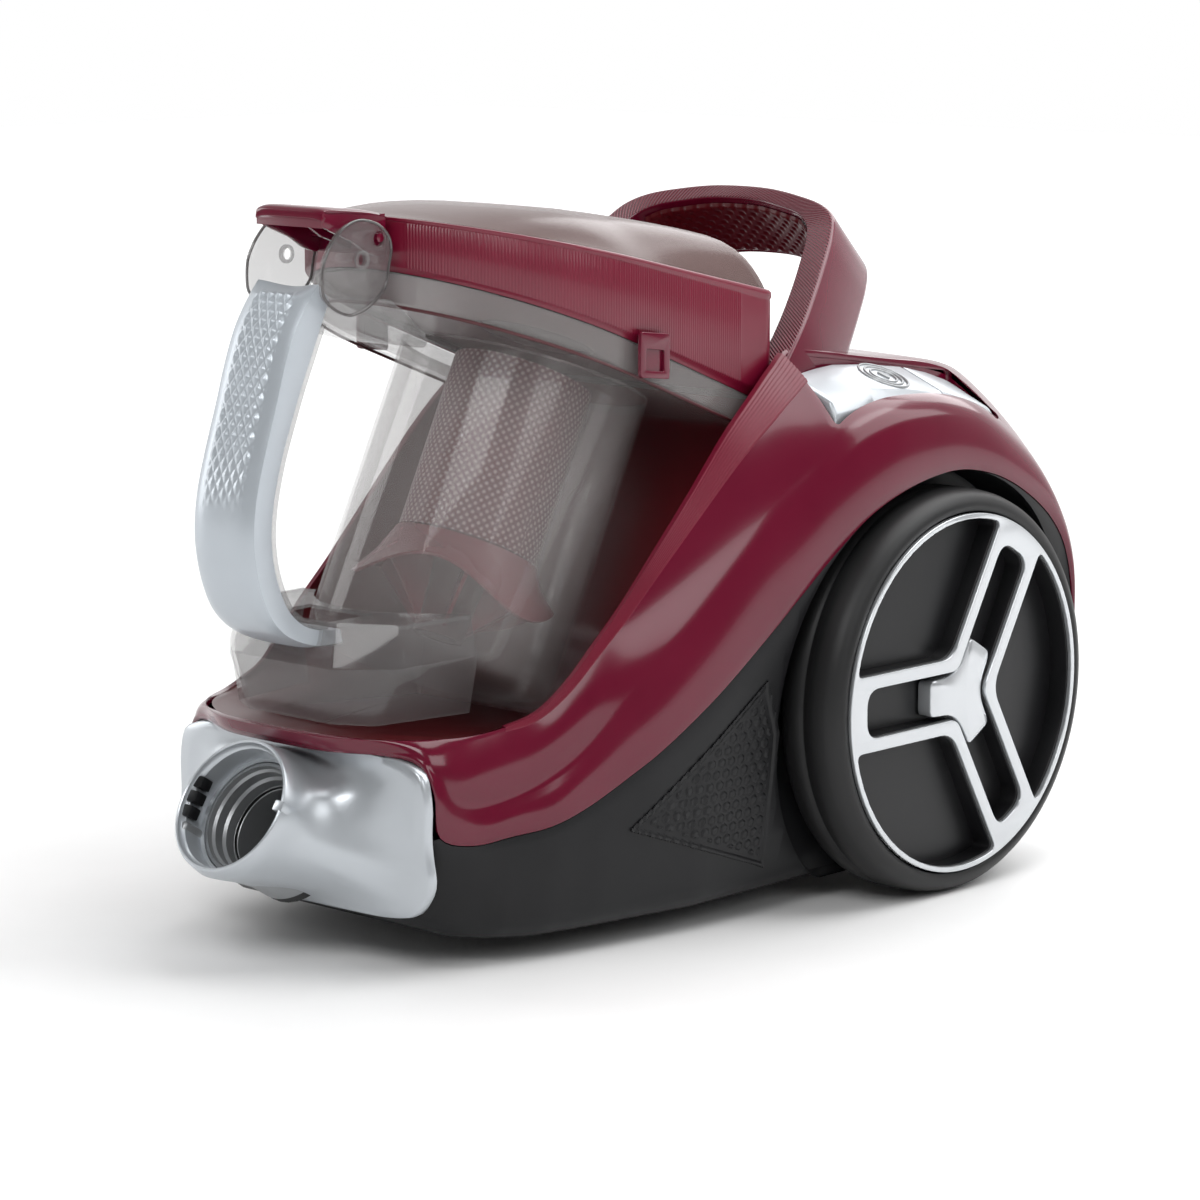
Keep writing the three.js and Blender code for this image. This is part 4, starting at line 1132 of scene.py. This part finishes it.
def lid_ring():
    """The burgundy ring, with a fine rib every millimetre and a half round its front and sides."""
    outline = lid_plan(0)
    dense = []
    for (x0, y0), (x1, y1) in zip(outline, outline[1:] + outline[:1]):
        steps = max(int(math.hypot(x1 - x0, y1 - y0) / 0.42), 1)
        dense += [(lerp(x0, x1, k / steps), lerp(y0, y1, k / steps)) for k in range(steps)]
    run = [0.0]
    for (x0, y0), (x1, y1) in zip(dense, dense[1:]):
        run.append(run[-1] + math.hypot(x1 - x0, y1 - y0))

    def rib(index):
        x, y = dense[index]
        if y > 30 or (abs(x) < 26 and y < -100):
            return 0.0
        near = min(1, (30 - y) / 2, 1 if y > -100 else max(abs(x) - 26, 0) / 1.5)
        return near * (0.5 + 0.5 * math.cos(2 * math.pi * run[index] / 1.55))

    levels = [(0.0, 2.6, 0), (0.06, 2.0, 0), (0.075, 0.9, 0.2), (0.10, 0.75, 1), (0.90, 0.75, 1),
              (0.92, 0.9, 0.2), (0.945, 0.2, 0), (0.985, 0.35, 0), (1.0, 1.3, 0), (0.985, 3.0, 0),
              (0.02, 3.2, 0)]
    rings = []
    for level, inset, ribbed in levels:
        ring = []
        for index, (x, y) in enumerate(dense):
            push = inset - 0.42 * rib(index) * ribbed
            centre_y = min(max(y, LID_Y), LID_REAR - LID_CORNER)
            centre_x = 0 if y < LID_Y else math.copysign(min(abs(x), LID_HALF - LID_CORNER), x)
            out = Vector((x - centre_x, y - centre_y))
            p = Vector((x, y)) - out.normalized() * push
            low = RING_LOW[0] + RING_LOW[1] * p[1]
            high = RING_HIGH[0] + RING_HIGH[1] * p[1]
            ring.append(Vector((p[0], p[1], lerp(low, high, level))))
        rings.append(ring)
    cols = len(rings[0])
    verts = [v for ring in rings for v in ring]
    faces = grid_faces(len(rings), cols, True, True)
    ring_mesh = tidy(piece("lid_ring_skin", verts, faces))
    show(ring_mesh, BURGUNDY_FINE, "lid", ["lid_ring"], smooth=60)


DOME_RISE = [(-137, 1.0), (-130, 4.4), (-115, 8.8), (-84, 14.7), (-60, 18.4), (-37, 21.0), (6, 22.6),
             (54, 22.8)]


def lid_dome():
    centre = -35.0
    edge = lid_plan(3.4, 72, 12)
    levels = [1.0, 0.997, 0.99, 0.975, 0.95, 0.92, 0.88, 0.83, 0.77, 0.7, 0.6, 0.48, 0.34, 0.2, 0.07]

    def ring(scale):
        out = []
        for x, y in edge:
            px, py = x * scale, centre + (y - centre) * scale
            rearward = min(max((y - centre) / 90, 0), 1)
            crown = 1 - scale ** lerp(4.5, 11, rearward)
            z = RING_HIGH[0] + RING_HIGH[1] * py + 0.3 + lookup(DOME_RISE, py) * crown
            out.append(Vector((px, py, z)))
        return out

    rings = [ring(level) for level in levels]
    cols = len(rings[0])
    verts = [v for r in rings for v in r]
    faces = grid_faces(len(rings), cols, False, True)
    faces.append(tuple(range((len(rings) - 1) * cols, len(rings) * cols)))
    dome = piece("lid_dome_skin", verts, faces)
    face_away(dome, (0, -40, 250))
    thicken(dome, 2.0)
    show(dome, SMOKE, "lid", ["lid_dome"], smooth=50)


def bin_tub():
    r, wall = 61.0, 1.8
    low, high = -95.0, 62.0
    outer = [(0, low), (r - 7, low), (r - 3, low + 1.2), (r - 0.8, low + 4), (r, low + 9), (r, high)]
    inner = [(r - wall, high), (r - wall, low + 10), (r - 5, low + 4), (r - 9, low + 2.4), (0, low + 2.4)]
    profile = outer + inner
    rows = []
    segments = 128
    for k in range(segments):
        a = 2 * math.pi * k / segments
        row = []
        for radius, h in profile:
            if h >= high - 0.1:
                # The top edge runs up to the sloping flange.
                p = BIN_FRAME @ Vector((radius * math.cos(a), radius * math.sin(a), h))
                axis = BIN_FRAME.to_3x3() @ Vector((0, 0, 1))
                target = RING_LOW[0] + RING_LOW[1] * p.y - FLANGE_DROP + 1.4
                t = (target - p.z) / (axis.z - RING_LOW[1] * axis.y)
                row.append(p + axis * t)
            else:
                row.append(BIN_FRAME @ Vector((radius * math.cos(a), radius * math.sin(a), h)))
        rows.append(row)
    tub = tidy(grid("bin_tub_skin", rows, wrap_rows=True))
    # The flange carries the lid: a flat shelf and an upright clear band.
    plan_out = lid_plan(2.0, 60, 10)
    plan_in = lid_plan(4.0, 60, 10)
    shelf_out = on_plane(RING_LOW, plan_out, -FLANGE_DROP)
    shelf_top = on_plane(RING_LOW, plan_out, -0.6)
    band_in = on_plane(RING_LOW, plan_in, -0.6)
    shelf_in = on_plane(RING_LOW, plan_in, -FLANGE_DROP + 2.0)
    axis = BIN_FRAME.to_3x3() @ Vector((0, 0, 1))
    origin = BIN_FRAME.translation
    hole_low, hole_high = [], []
    for p in plan_out:
        direction = Vector((p[0], p[1] + 20.9, 0)).normalized()
        base = BIN_FRAME.to_3x3().inverted() @ direction
        around = Vector((base.x, base.y, 0)).normalized() * (r - 0.6)
        for shift, store in ((-FLANGE_DROP, hole_low), (-FLANGE_DROP + 2.0, hole_high)):
            q = origin + BIN_FRAME.to_3x3() @ around
            target = RING_LOW[0] + RING_LOW[1] * q.y + shift
            t = (target - q.z) / (axis.z - RING_LOW[1] * axis.y)
            store.append(q + axis * t)
    rings = [hole_low, shelf_out, shelf_top, band_in, shelf_in, hole_high]
    cols = len(plan_out)
    flange = tidy(piece("flange", [v for ring in rings for v in ring], grid_faces(6, cols, True, True)))
    tub = merged("bin_tub_skin", tub, flange)
    show(tub, CLEAR, "bin", ["bin_tub"], smooth=40)
    line = on_plane(RING_LOW, lid_plan(1.7, 60, 10), -FLANGE_DROP - 0.5)
    rows = []
    for k in range(8):
        a = 2 * math.pi * k / 8
        rows.append([p + Vector((0.7 * math.cos(a) * (1 if p.x > 0 else -1), 0, 0.8 * math.sin(a)))
                     for p in line])
    gasket = tidy(piece("flange_gasket", [v for row in rows for v in row],
                        grid_faces(8, len(line), True, True)))
    show(gasket, ROSE_DARK, "bin")


def bin_foot():
    """The clear faceted skirt under the front of the bin."""
    def ring(points, z):
        return [(x, y, z) for x, y in points]

    lower = [(55, -121.4), (46, -173), (28, -183), (-28, -183), (-46, -173), (-55, -121.4)]
    middle = [(60.5, -121.4), (59.5, -166), (34, -189), (-34, -189), (-59.5, -166), (-60.5, -121.4)]
    upper = [(56, -121.4), (53.5, -164), (26, -179), (-26, -179), (-53.5, -164), (-56, -121.4)]
    rows = [ring(lower, 112.3), ring(middle, 139), ring(upper, 158.5)]
    skin = grid("bin_foot_skin", rows)
    face_away(skin, (0, -120, 138))
    mod = skin.modifiers.new("bevel", "BEVEL")
    mod.width = 0.0012
    mod.segments = 2
    mod.limit_method = "ANGLE"
    mod.angle_limit = math.radians(12)
    apply_modifiers(skin)
    thicken(skin, 2.2)
    show(skin, CLEAR_PAINTED_DARKER, "bin", ["bin_foot"], smooth=20)
    top = piece("foot_top", [(x, y, 158) for x, y in upper[:3]] + [(x, y, 158) for x, y in upper[3:]]
                + [(-40, -118, 158), (40, -118, 158)], [(0, 1, 2, 3, 4, 5, 6, 7)])
    cutter = turned("tub_room", [(0, -140), (62.2, -140), (62.2, 100), (0, 100)], BIN_FRAME, 64, closed=False)
    thicken(face_away(top, (0, -150, 100)), 1.6)
    cut(top, tidy(cutter), box_mesh("grip_room", (-21, -260, 130), (21, -150, 200)))
    show(top, CLEAR_PAINTED_DARKER, "bin")


# ---------------------------------------------------------------- bin grip
GRIP_OUTER = [(-183, 314), (-190.5, 305), (-198, 293), (-204.5, 277), (-210, 260), (-217.5, 238),
              (-223, 218), (-224.8, 200), (-222.5, 182), (-216.5, 166), (-208, 155.5), (-197, 149),
              (-184, 145), (-168, 143.8)]
GRIP_INNER = [(-172.5, 304.5), (-177, 294.5), (-184, 279.5), (-190.5, 265.5), (-196.5, 251), (-203, 234),
              (-207.8, 216), (-209.6, 200), (-207.6, 184), (-201.5, 168.5), (-194, 160), (-185.5, 155.5),
              (-176, 153.6), (-168, 153.2)]


def bin_grip():
    steps = 24
    outer = catmull([(y, z, 0) for y, z in GRIP_OUTER], steps)
    inner = catmull([(y, z, 0) for y, z in GRIP_INNER], steps)
    lengths = [0.0]
    for a, b in zip(outer, outer[1:]):
        lengths.append(lengths[-1] + (b - a).length)
    rows = []
    front_cols = 96
    for index, (a, b) in enumerate(zip(outer, inner)):
        out_dir = (a - b).normalized()
        s = lengths[index]
        row = []
        for k in range(front_cols + 1):
            x = lerp(-19.9, 19.9, k / front_cols)
            near_edge = abs(x) / 19.9
            crown = -2.6 * near_edge ** 4
            knurl = 0.0
            if abs(x) < 13.4 and 5 < s < 112:
                u, v = (x + s * 0.62) / 5.6, (x - s * 0.62) / 5.6
                diamond = min(abs(u - round(u)), abs(v - round(v))) * 2
                fade = min(1, (13.4 - abs(x)) / 1.5, (s - 5) / 4, (112 - s) / 34)
                knurl = 1.5 * fade * diamond
            scoop = -5.5 * max(0, 1 - s / 9) * (1 - near_edge ** 2)
            lift = crown + knurl + scoop - 0.8
            row.append(Vector((x, a.x + out_dir.x * lift, a.y + out_dir.y * lift)))
        row.append(Vector((19.9, lerp(a.x, b.x, 0.5), lerp(a.y, b.y, 0.5))))
        for x in (18.5, 9, 0, -9, -18.5):
            row.append(Vector((x, b.x, b.y)))
        row.append(Vector((-19.9, lerp(a.x, b.x, 0.5), lerp(a.y, b.y, 0.5))))
        rows.append(row)
    cols = len(rows[0])
    verts = [v for row in rows for v in row]
    faces = grid_faces(len(rows), cols, False, True)
    faces += [tuple(reversed(range(cols))), tuple(range((len(rows) - 1) * cols, len(rows) * cols))]
    grip = tidy(piece("bin_grip_skin", verts, faces))
    show(grip, GRIP_SILVER, "bin", ["bin_handle"], smooth=45)


GRIP_SILVER = plastic("grip_silver", (0.47, 0.51, 0.55), 0.33, spread=0.03, grain=2600, bump=0.03,
                      metallic=0.35, coat=0.1)


def grip_liner():
    inner = catmull([(y, z, 0) for y, z in GRIP_INNER[1:-1]], 8)
    rings = []
    for index, p in enumerate(inner):
        q = inner[min(index + 1, len(inner) - 1)] - inner[max(index - 1, 0)]
        n = Vector((-q.y, q.x, 0)).normalized()
        if n.x < 0:
            n = -n
        near, far = p + n * 0.5, p + n * 3.0
        section = [(-18.6, near), (18.6, near), (19.2, lerp(near, far, 0.5)), (18.2, far), (-18.2, far),
                   (-19.2, lerp(near, far, 0.5))]
        rings.append([Vector((x, v.x, v.y)) for x, v in section])
    liner = loft("grip_liner_skin", rings)
    show(liner, CLEAR_PAINTED_DARKER, "bin", ["handle_liner"])


EAR = [(-182.5, 308), (-182.4, 319), (-179.4, 326), (-175.2, 331.6), (-169.3, 336.6), (-160, 339.6),
       (-149.4, 337.6), (-142.3, 332.6), (-139.8, 326), (-141.4, 318), (-143.2, 310), (-148, 304.5),
       (-156, 299.6), (-166, 297.2), (-174, 299.6), (-179, 303)]


def web_point(p, shrink):
    """A place on the web's section, drawn in towards its middle and kept under the bin's flange."""
    y = lerp(-145, p.x, shrink)
    z = lerp(295, p.y, shrink)
    if p.x > -137.5:
        z = min(z, RING_LOW[0] + RING_LOW[1] * p.x - FLANGE_DROP - 1.0)
    return y, z


def bin_bracket():
    """Two clear ears with the lever's pin holes, and the web that ties them to the grip."""
    outline = [(p.x, p.y) for p in catmull([(y, z, 0) for y, z in EAR], 6, closed=True)]
    holes = []
    for (y, z), r in (((-147.2, 330.6), 3.4), ((-158.5, 321.7), 3.0)):
        holes.append([(y + r * math.cos(2 * math.pi * k / 28), z + r * math.sin(2 * math.pi * k / 28))
                      for k in range(28)])
    parts = []
    for low, high in ((22.4, 25.0), (-25.0, -22.4)):
        parts.append(sheet_with_holes("ear", outline, holes, low, high, along_x(0, 0, 0), 0.4))
    for sign in (1, -1):
        profile = [(2.6, -0.2), (4.4, -0.2), (4.4, 0.9), (2.6, 0.9)]
        parts.append(turned("boss", profile, along_x(sign * 25.0, -158.5, 321.7), 28))
    shelf = catmull([(-170, 303, 0), (-166, 306, 0), (-152, 304, 0), (-138.9, 302, 0), (-126, 292, 0),
                     (-116.5, 283, 0), (-120, 279, 0), (-138, 283, 0), (-152, 287, 0), (-162, 292, 0)],
                    5, closed=True)
    rings = []
    for x in (-25, -24, 24, 25):
        shrink = 0.96 if abs(x) == 25 else 1.0
        rings.append([(x, *web_point(p, shrink)) for p in shelf])
    parts.append(loft("web", rings))
    # Dark tubes round each ear's outline are a painted dark edge, standing in for the dark line that
    # refraction draws along clear plastic edges.
    for x in (25.0, -25.0):
        rows = []
        for index, (y, z) in enumerate(outline):
            before, after = Vector(outline[index - 1]), Vector(outline[(index + 1) % len(outline)])
            out = Vector((after.y - before.y, before.x - after.x)).normalized()
            rows.append([(x + 0.7 * math.cos(a), y + out.x * 0.7 * math.sin(a), z + out.y * 0.7 * math.sin(a))
                         for a in (math.pi * k / 3 for k in range(6))])
        rim = tidy(grid("ear_painted_dark_edge", rows, wrap_rows=True, wrap_cols=True))
        show(rim, EAR_PAINTED_DARK_EDGE, "bin", smooth=80)
    bracket = merged("bin_bracket_skin", *parts)
    show(bracket, CLEAR_PAINTED_DARKER, "bin", ["bin_bracket"], smooth=40)


def release_lever():
    """The burgundy thumb lever over the grip: a plate with an oval hollow, open below."""
    top = [(-139.6, 341.6), (-150, 343.6), (-165, 345.2), (-176, 346), (-179.4, 344.4), (-180, 341)]
    half = 21.8
    upper = [Vector((0, y, z)) for y, z in top]
    rows = []
    xs = [-half, -half + 0.8, -half + 3] + [lerp(-17, 17, k / 20) for k in range(21)] + \
         [half - 3, half - 0.8, half]
    dense = catmull([(p.y, p.z, 0) for p in upper], 6)
    for p in dense:
        row = []
        for x in xs:
            round_off = 1.4 * (abs(x) / half) ** 8
            oval = ((x / 14.5) ** 2 + ((p.x + 160) / 8.5) ** 2) ** 0.5
            dip = 2.3 * ease(min(max((1.08 - oval) / 0.25, 0), 1))
            row.append(Vector((x, p.x, p.y - round_off - dip)))
        rows.append(row)
    plate = grid("lever_top", rows)
    face_away(plate, (0, -160, 300))
    thicken(plate, 2.6)
    cheeks = []
    side = [(-140, 341), (-179.5, 343.2), (-179, 337.5), (-172, 334.4), (-160, 329.6), (-152, 324.5),
            (-145, 322), (-140.2, 324)]
    outline = fillet(side, 1.5, 3)
    for low, high in ((half - 2.2, half - 0.2), (-half + 0.2, -half + 2.2)):
        cheeks.append(prism("cheek", [(p.x, p.y) for p in outline], low, high, along_x(0, 0, 0)))
    front = box_mesh("lever_front", (-half + 0.3, -179.6, 336.8), (half - 0.3, -177.4, 343.6))
    back = box_mesh("lever_back", (-half + 0.3, -142.6, 322.5), (half - 0.3, -140.2, 341.5))
    web = prism("lever_web", [(-141, 324), (-141, 338), (-176, 341), (-160, 331)], -1.2, 1.2,
                along_x(0, 0, 0))
    pin = turned("lever_pin", [(0, -24.4), (2.1, -24.4), (2.1, 24.4), (0, 24.4)], along_x(0, -146, 331), 24,
                 closed=False)
    lever = merged("release_lever_skin", plate, *cheeks, front, back, web, tidy(pin))
    bevelled(lever, 0.35, 2, 50)
    show(lever, BURGUNDY, "lever", ["release_lever"], smooth=35)


def lid_clip(side, body, sign):
    z = RING_LOW[0] + RING_LOW[1] * -38
    outer = [(-48, z - 13), (-28, z - 15.4), (-28, z + 6), (-48, z + 8.4)]
    inner = [(-44.2, z - 9.8), (-31.8, z - 11.4), (-31.8, z - 1.5), (-44.2, z + 0.1)]
    clip = sheet_with_holes(f"lid_clip_{side}_skin", [(p.x, p.y) for p in fillet(outer, 2, 4)],
                            [[(p.x, p.y) for p in fillet(inner, 1.2, 4)]], 92.7, 95.0, along_x(0, 0, 0), 0.4)
    recess = prism("clip_recess", inner, 92.7, 93.3, along_x(0, 0, 0))
    clip = merged(f"lid_clip_{side}_skin", clip, recess)
    if sign < 0:
        other = mirror_copy(clip, "other")
        bpy.data.objects.remove(clip)
        clip = other
        clip.name = f"lid_clip_{side}_skin"
    show(clip, BURGUNDY, body, [f"lid_clip_{side}"])


# ---------------------------------------------------------------- separator
def separator():
    tube_rows = []
    for k in range(160):
        a = 2 * math.pi * k / 160
        tube_rows.append([BIN_FRAME @ Vector((34.4 * math.cos(a), 34.4 * math.sin(a), h))
                          for h in (-32, -10, 12, 34, 56)])
    tube = grid("separator_mesh_skin", tube_rows, wrap_rows=True)
    uv_by_rows(tube, 160, 5)
    face_away(tube, tuple(BIN_FRAME @ Vector((0, 0, 10))))
    show(tube, MESH_ROSE, "bin", ["separator_mesh"])
    rows = []
    for k in range(120):
        a = 2 * math.pi * k / 120
        scallop = 0.5 - 0.5 * math.cos(3 * a)
        depth = lerp(-62, -48, scallop)
        profile = [(35.4, -33), (36.6, -36), (41, lerp(-36, depth, 0.45)), (46.5, lerp(-36, depth, 0.8)),
                   (49.4, depth)]
        rows.append([BIN_FRAME @ Vector((r * math.cos(a), r * math.sin(a), h)) for r, h in profile])
    skirt = grid("separator_skirt_skin", rows, wrap_rows=True)
    face_away(skirt, tuple(BIN_FRAME @ Vector((0, 0, -45))))
    thicken(skirt, 1.4)
    show(skirt, ROSE, "bin", ["separator_skirt"])
    profile = [(9.5, -78), (12, -78), (17.5, -40), (27.6, 36), (27.6, 44), (25.6, 44), (15.6, -38)]
    cone = turned("separator_cone_skin", profile, BIN_FRAME, 72)
    show(cone, ROSE_DARK, "bin", ["separator_cone"])
    fins = []
    for k in range(6):
        turn = BIN_FRAME @ Matrix.Rotation(math.radians(60 * k + 20), 4, "Z")
        outline = [(17, -37), (33.5, -37), (40, -52), (30, -60), (14, -74)]
        upright = turn @ Matrix.Rotation(math.radians(90), 4, "X")
        fins.append(prism("fin", outline, -0.9, 0.9, upright))
    fin_set = merged("separator_fins", *fins)
    show(fin_set, ROSE, "bin")


def perforated(name):
    material = plastic(name, (0.19, 0.05, 0.06), 0.35, spread=0.08, grain=900, bump=0.02, alpha=0.93)
    tree = material.node_tree
    shader = tree.nodes["Principled BSDF"]
    coords = tree.nodes.new("ShaderNodeUVMap")
    coords.uv_map = "detail"
    mapping = tree.nodes.new("ShaderNodeMapping")
    mapping.inputs["Scale"].default_value = (330, 330, 1)
    mapping.inputs["Rotation"].default_value = (0, 0, math.radians(45))
    dots = node_of(tree, "ShaderNodeTexVoronoi", Scale=1.0, Randomness=0.0)
    ramp = tree.nodes.new("ShaderNodeValToRGB")
    ramp.color_ramp.elements[0].position = 0.26
    ramp.color_ramp.elements[0].color = (0.46, 0.33, 0.33, 1)
    ramp.color_ramp.elements[1].position = 0.34
    ramp.color_ramp.elements[1].color = (0.16, 0.045, 0.055, 1)
    tree.links.new(coords.outputs["UV"], mapping.inputs["Vector"])
    tree.links.new(mapping.outputs["Vector"], dots.inputs["Vector"])
    tree.links.new(dots.outputs["Distance"], ramp.inputs["Fac"])
    tree.links.new(ramp.outputs["Color"], shader.inputs["Base Color"])
    return material


MESH_ROSE = perforated("separator_perforated")


# ---------------------------------------------------------------- small parts and carried-over nodes
def exhaust_door():
    outline = [(p.x, p.y) for p in fillet([(-53.8, 66.6), (53.8, 66.6), (53.8, 149.6), (-53.8, 149.6)], 5)]
    slots = []
    for i in range(9):
        z = 75.5 + i * 8.2
        for x0, x1 in ((-47, -17.5), (-14.5, 14.5), (17.5, 47)):
            slots.append([(p.x, p.y) for p in fillet([(x0, z - 1.9), (x1, z - 1.9), (x1, z + 1.9),
                                                      (x0, z + 1.9)], 1.8, 4)])
    upright = Matrix.Rotation(math.radians(90), 4, "X")
    door = sheet_with_holes("exhaust_door_skin", outline, slots, -236.4, -233.2, upright, 0.4)
    show(door, BLACK, "exhaust_door", ["exhaust_grille"])


def pleated_filter():
    rows = []
    for i in range(121):
        x = lerp(-50, 50, i / 120)
        y = 221.8 - (2.4 if i % 4 in (2, 3) else 0)
        rows.append([Vector((x, y, z)) for z in (70, 95, 120, 146)])
    pleats = grid("hepa_pleats", rows)
    face_away(pleats, (0, 150, 108))
    thicken(pleats, 1.0)
    show(pleats, PAPER, "machine", ["hepa_filter"])


def carried_over():
    """CAD nodes whose shape is right keep it and get a finished material."""
    materials = {
        "axle_stub_left": STEEL, "axle_stub_right": STEEL, "pedal_spring_left": STEEL,
        "pedal_spring_right": STEEL, "inlet_seal": RUBBER, "inlet_duct": BLACK, "caster_fork": BLACK,
        "caster_wheel": TYRE, "caster_pin": STEEL, "motor_housing": WHITE, "motor_stator": COPPER,
        "motor_rotor": STEEL, "motor_fan": WHITE, "air_duct": BLACK, "reel_drum": WHITE,
        "reel_shaft": STEEL, "control_board": BOARD, "cord_outlet": RUBBER, "lid_floor": ROSE_DARK,
        "bin_seal": RUBBER, "filter_frame": ROSE_DARK, "foam_filter": FOAM,
    }
    for name, material in materials.items():
        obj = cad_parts[name]
        obj.data.materials.clear()
        obj.data.materials.append(material)


# ---------------------------------------------------------------- stage
def studio():
    size = 6.0
    floor = piece("floor", [(-size / MM, -size / MM, -0.2), (size / MM, -size / MM, -0.2),
                            (size / MM, size / MM, -0.2), (-size / MM, size / MM, -0.2)], [(0, 1, 2, 3)])
    pale = plastic("floor_white", (0.86, 0.86, 0.86), 0.6, spread=0.01, bump=0.0)
    floor.data.materials.append(pale)
    shader = pale.node_tree.nodes["Principled BSDF"]
    place = pale.node_tree.nodes.new("ShaderNodeTexCoord")
    far = pale.node_tree.nodes.new("ShaderNodeVectorMath")
    far.operation = "LENGTH"
    pale.node_tree.links.new(place.outputs["Object"], far.inputs[0])
    glow = pale.node_tree.nodes.new("ShaderNodeMapRange")
    glow.inputs["From Min"].default_value = 0.7
    glow.inputs["From Max"].default_value = 3.2
    glow.inputs["To Max"].default_value = 0.8
    pale.node_tree.links.new(far.outputs["Value"], glow.inputs["Value"])
    pale.node_tree.links.new(glow.outputs["Result"], shader.inputs["Emission Strength"])
    shader.inputs["Emission Color"].default_value = (1, 1, 1, 1)
    world = bpy.data.worlds.new("studio")
    bpy.context.scene.world = world
    world.use_nodes = True
    background = world.node_tree.nodes["Background"]
    background.inputs["Color"].default_value = (1, 1, 1, 1)
    # The room is bright behind the machine and dimmer behind the camera.
    tree = world.node_tree
    where = tree.nodes.new("ShaderNodeTexCoord")
    facing = tree.nodes.new("ShaderNodeVectorMath")
    facing.operation = "DOT_PRODUCT"
    facing.inputs[1].default_value = (-0.68, 0.73, 0.05)
    tree.links.new(where.outputs["Generated"], facing.inputs[0])
    level = tree.nodes.new("ShaderNodeMapRange")
    level.interpolation_type = "SMOOTHSTEP"
    level.inputs["From Min"].default_value = -0.1
    level.inputs["From Max"].default_value = 0.8
    level.inputs["To Min"].default_value = 0.16
    level.inputs["To Max"].default_value = 1.0
    tree.links.new(facing.outputs["Value"], level.inputs["Value"])
    tree.links.new(level.outputs["Result"], background.inputs["Strength"])
    bpy.context.scene.view_settings.view_transform = "Standard"

    def soft_light(name, place, aim, width, height, power):
        data = bpy.data.lights.new(name, "AREA")
        data.shape = "RECTANGLE"
        data.size, data.size_y = width, height
        data.energy = power
        obj = bpy.data.objects.new(name, data)
        obj.location = place
        direction = Vector(aim) - Vector(place)
        obj.rotation_euler = direction.to_track_quat("-Z", "Y").to_euler()
        bpy.context.scene.collection.objects.link(obj)

    soft_light("key", (0.8, -1.7, 1.7), (0, 0, 0.15), 1.2, 0.9, 19)
    soft_light("top", (0.45, 0.75, 2.1), (0, 0, 0.1), 2.0, 1.8, 38)
    soft_light("left", (-1.9, -0.9, 0.8), (0, -0.1, 0.15), 0.7, 1.3, 10)
    soft_light("side", (1.9, -0.5, 1.1), (0, 0, 0.1), 0.8, 0.8, 6)
    soft_light("rear", (-0.6, 1.9, 1.3), (0, 0, 0.2), 1.4, 0.8, 8)
    soft_light("shoulder", (1.45, 1.35, 1.55), (0, 0, 0.2), 1.5, 1.2, 15)


def camera():
    data = bpy.data.cameras.new("camera")
    data.lens = 120
    data.sensor_width = 36
    data.clip_end = 20
    obj = bpy.data.objects.new("camera", data)
    obj.location = (1.3306, -1.4065, 0.4725)
    obj.rotation_euler = (math.radians(90 - 9.64), 0, math.radians(42.88))
    bpy.context.scene.collection.objects.link(obj)
    bpy.context.scene.camera = obj


def main():
    camera()
    studio()
    upper_shell()
    rail_trim()
    bay()
    base_pan()
    arch_liner()
    side_panel()
    carry_handle()
    inlet_cover()
    inlet_socket()
    for side, sign in (("left", 1), ("right", -1)):
        wheel(side, f"{side}_wheel", sign)
        pedal(side, f"{side}_pedal", sign)
        lid_clip(side, f"{side}_clip", sign)
    bin_tub()
    bin_foot()
    bin_grip()
    grip_liner()
    bin_bracket()
    release_lever()
    lid_ring()
    lid_dome()
    separator()
    exhaust_door()
    pleated_filter()
    carried_over()


main()
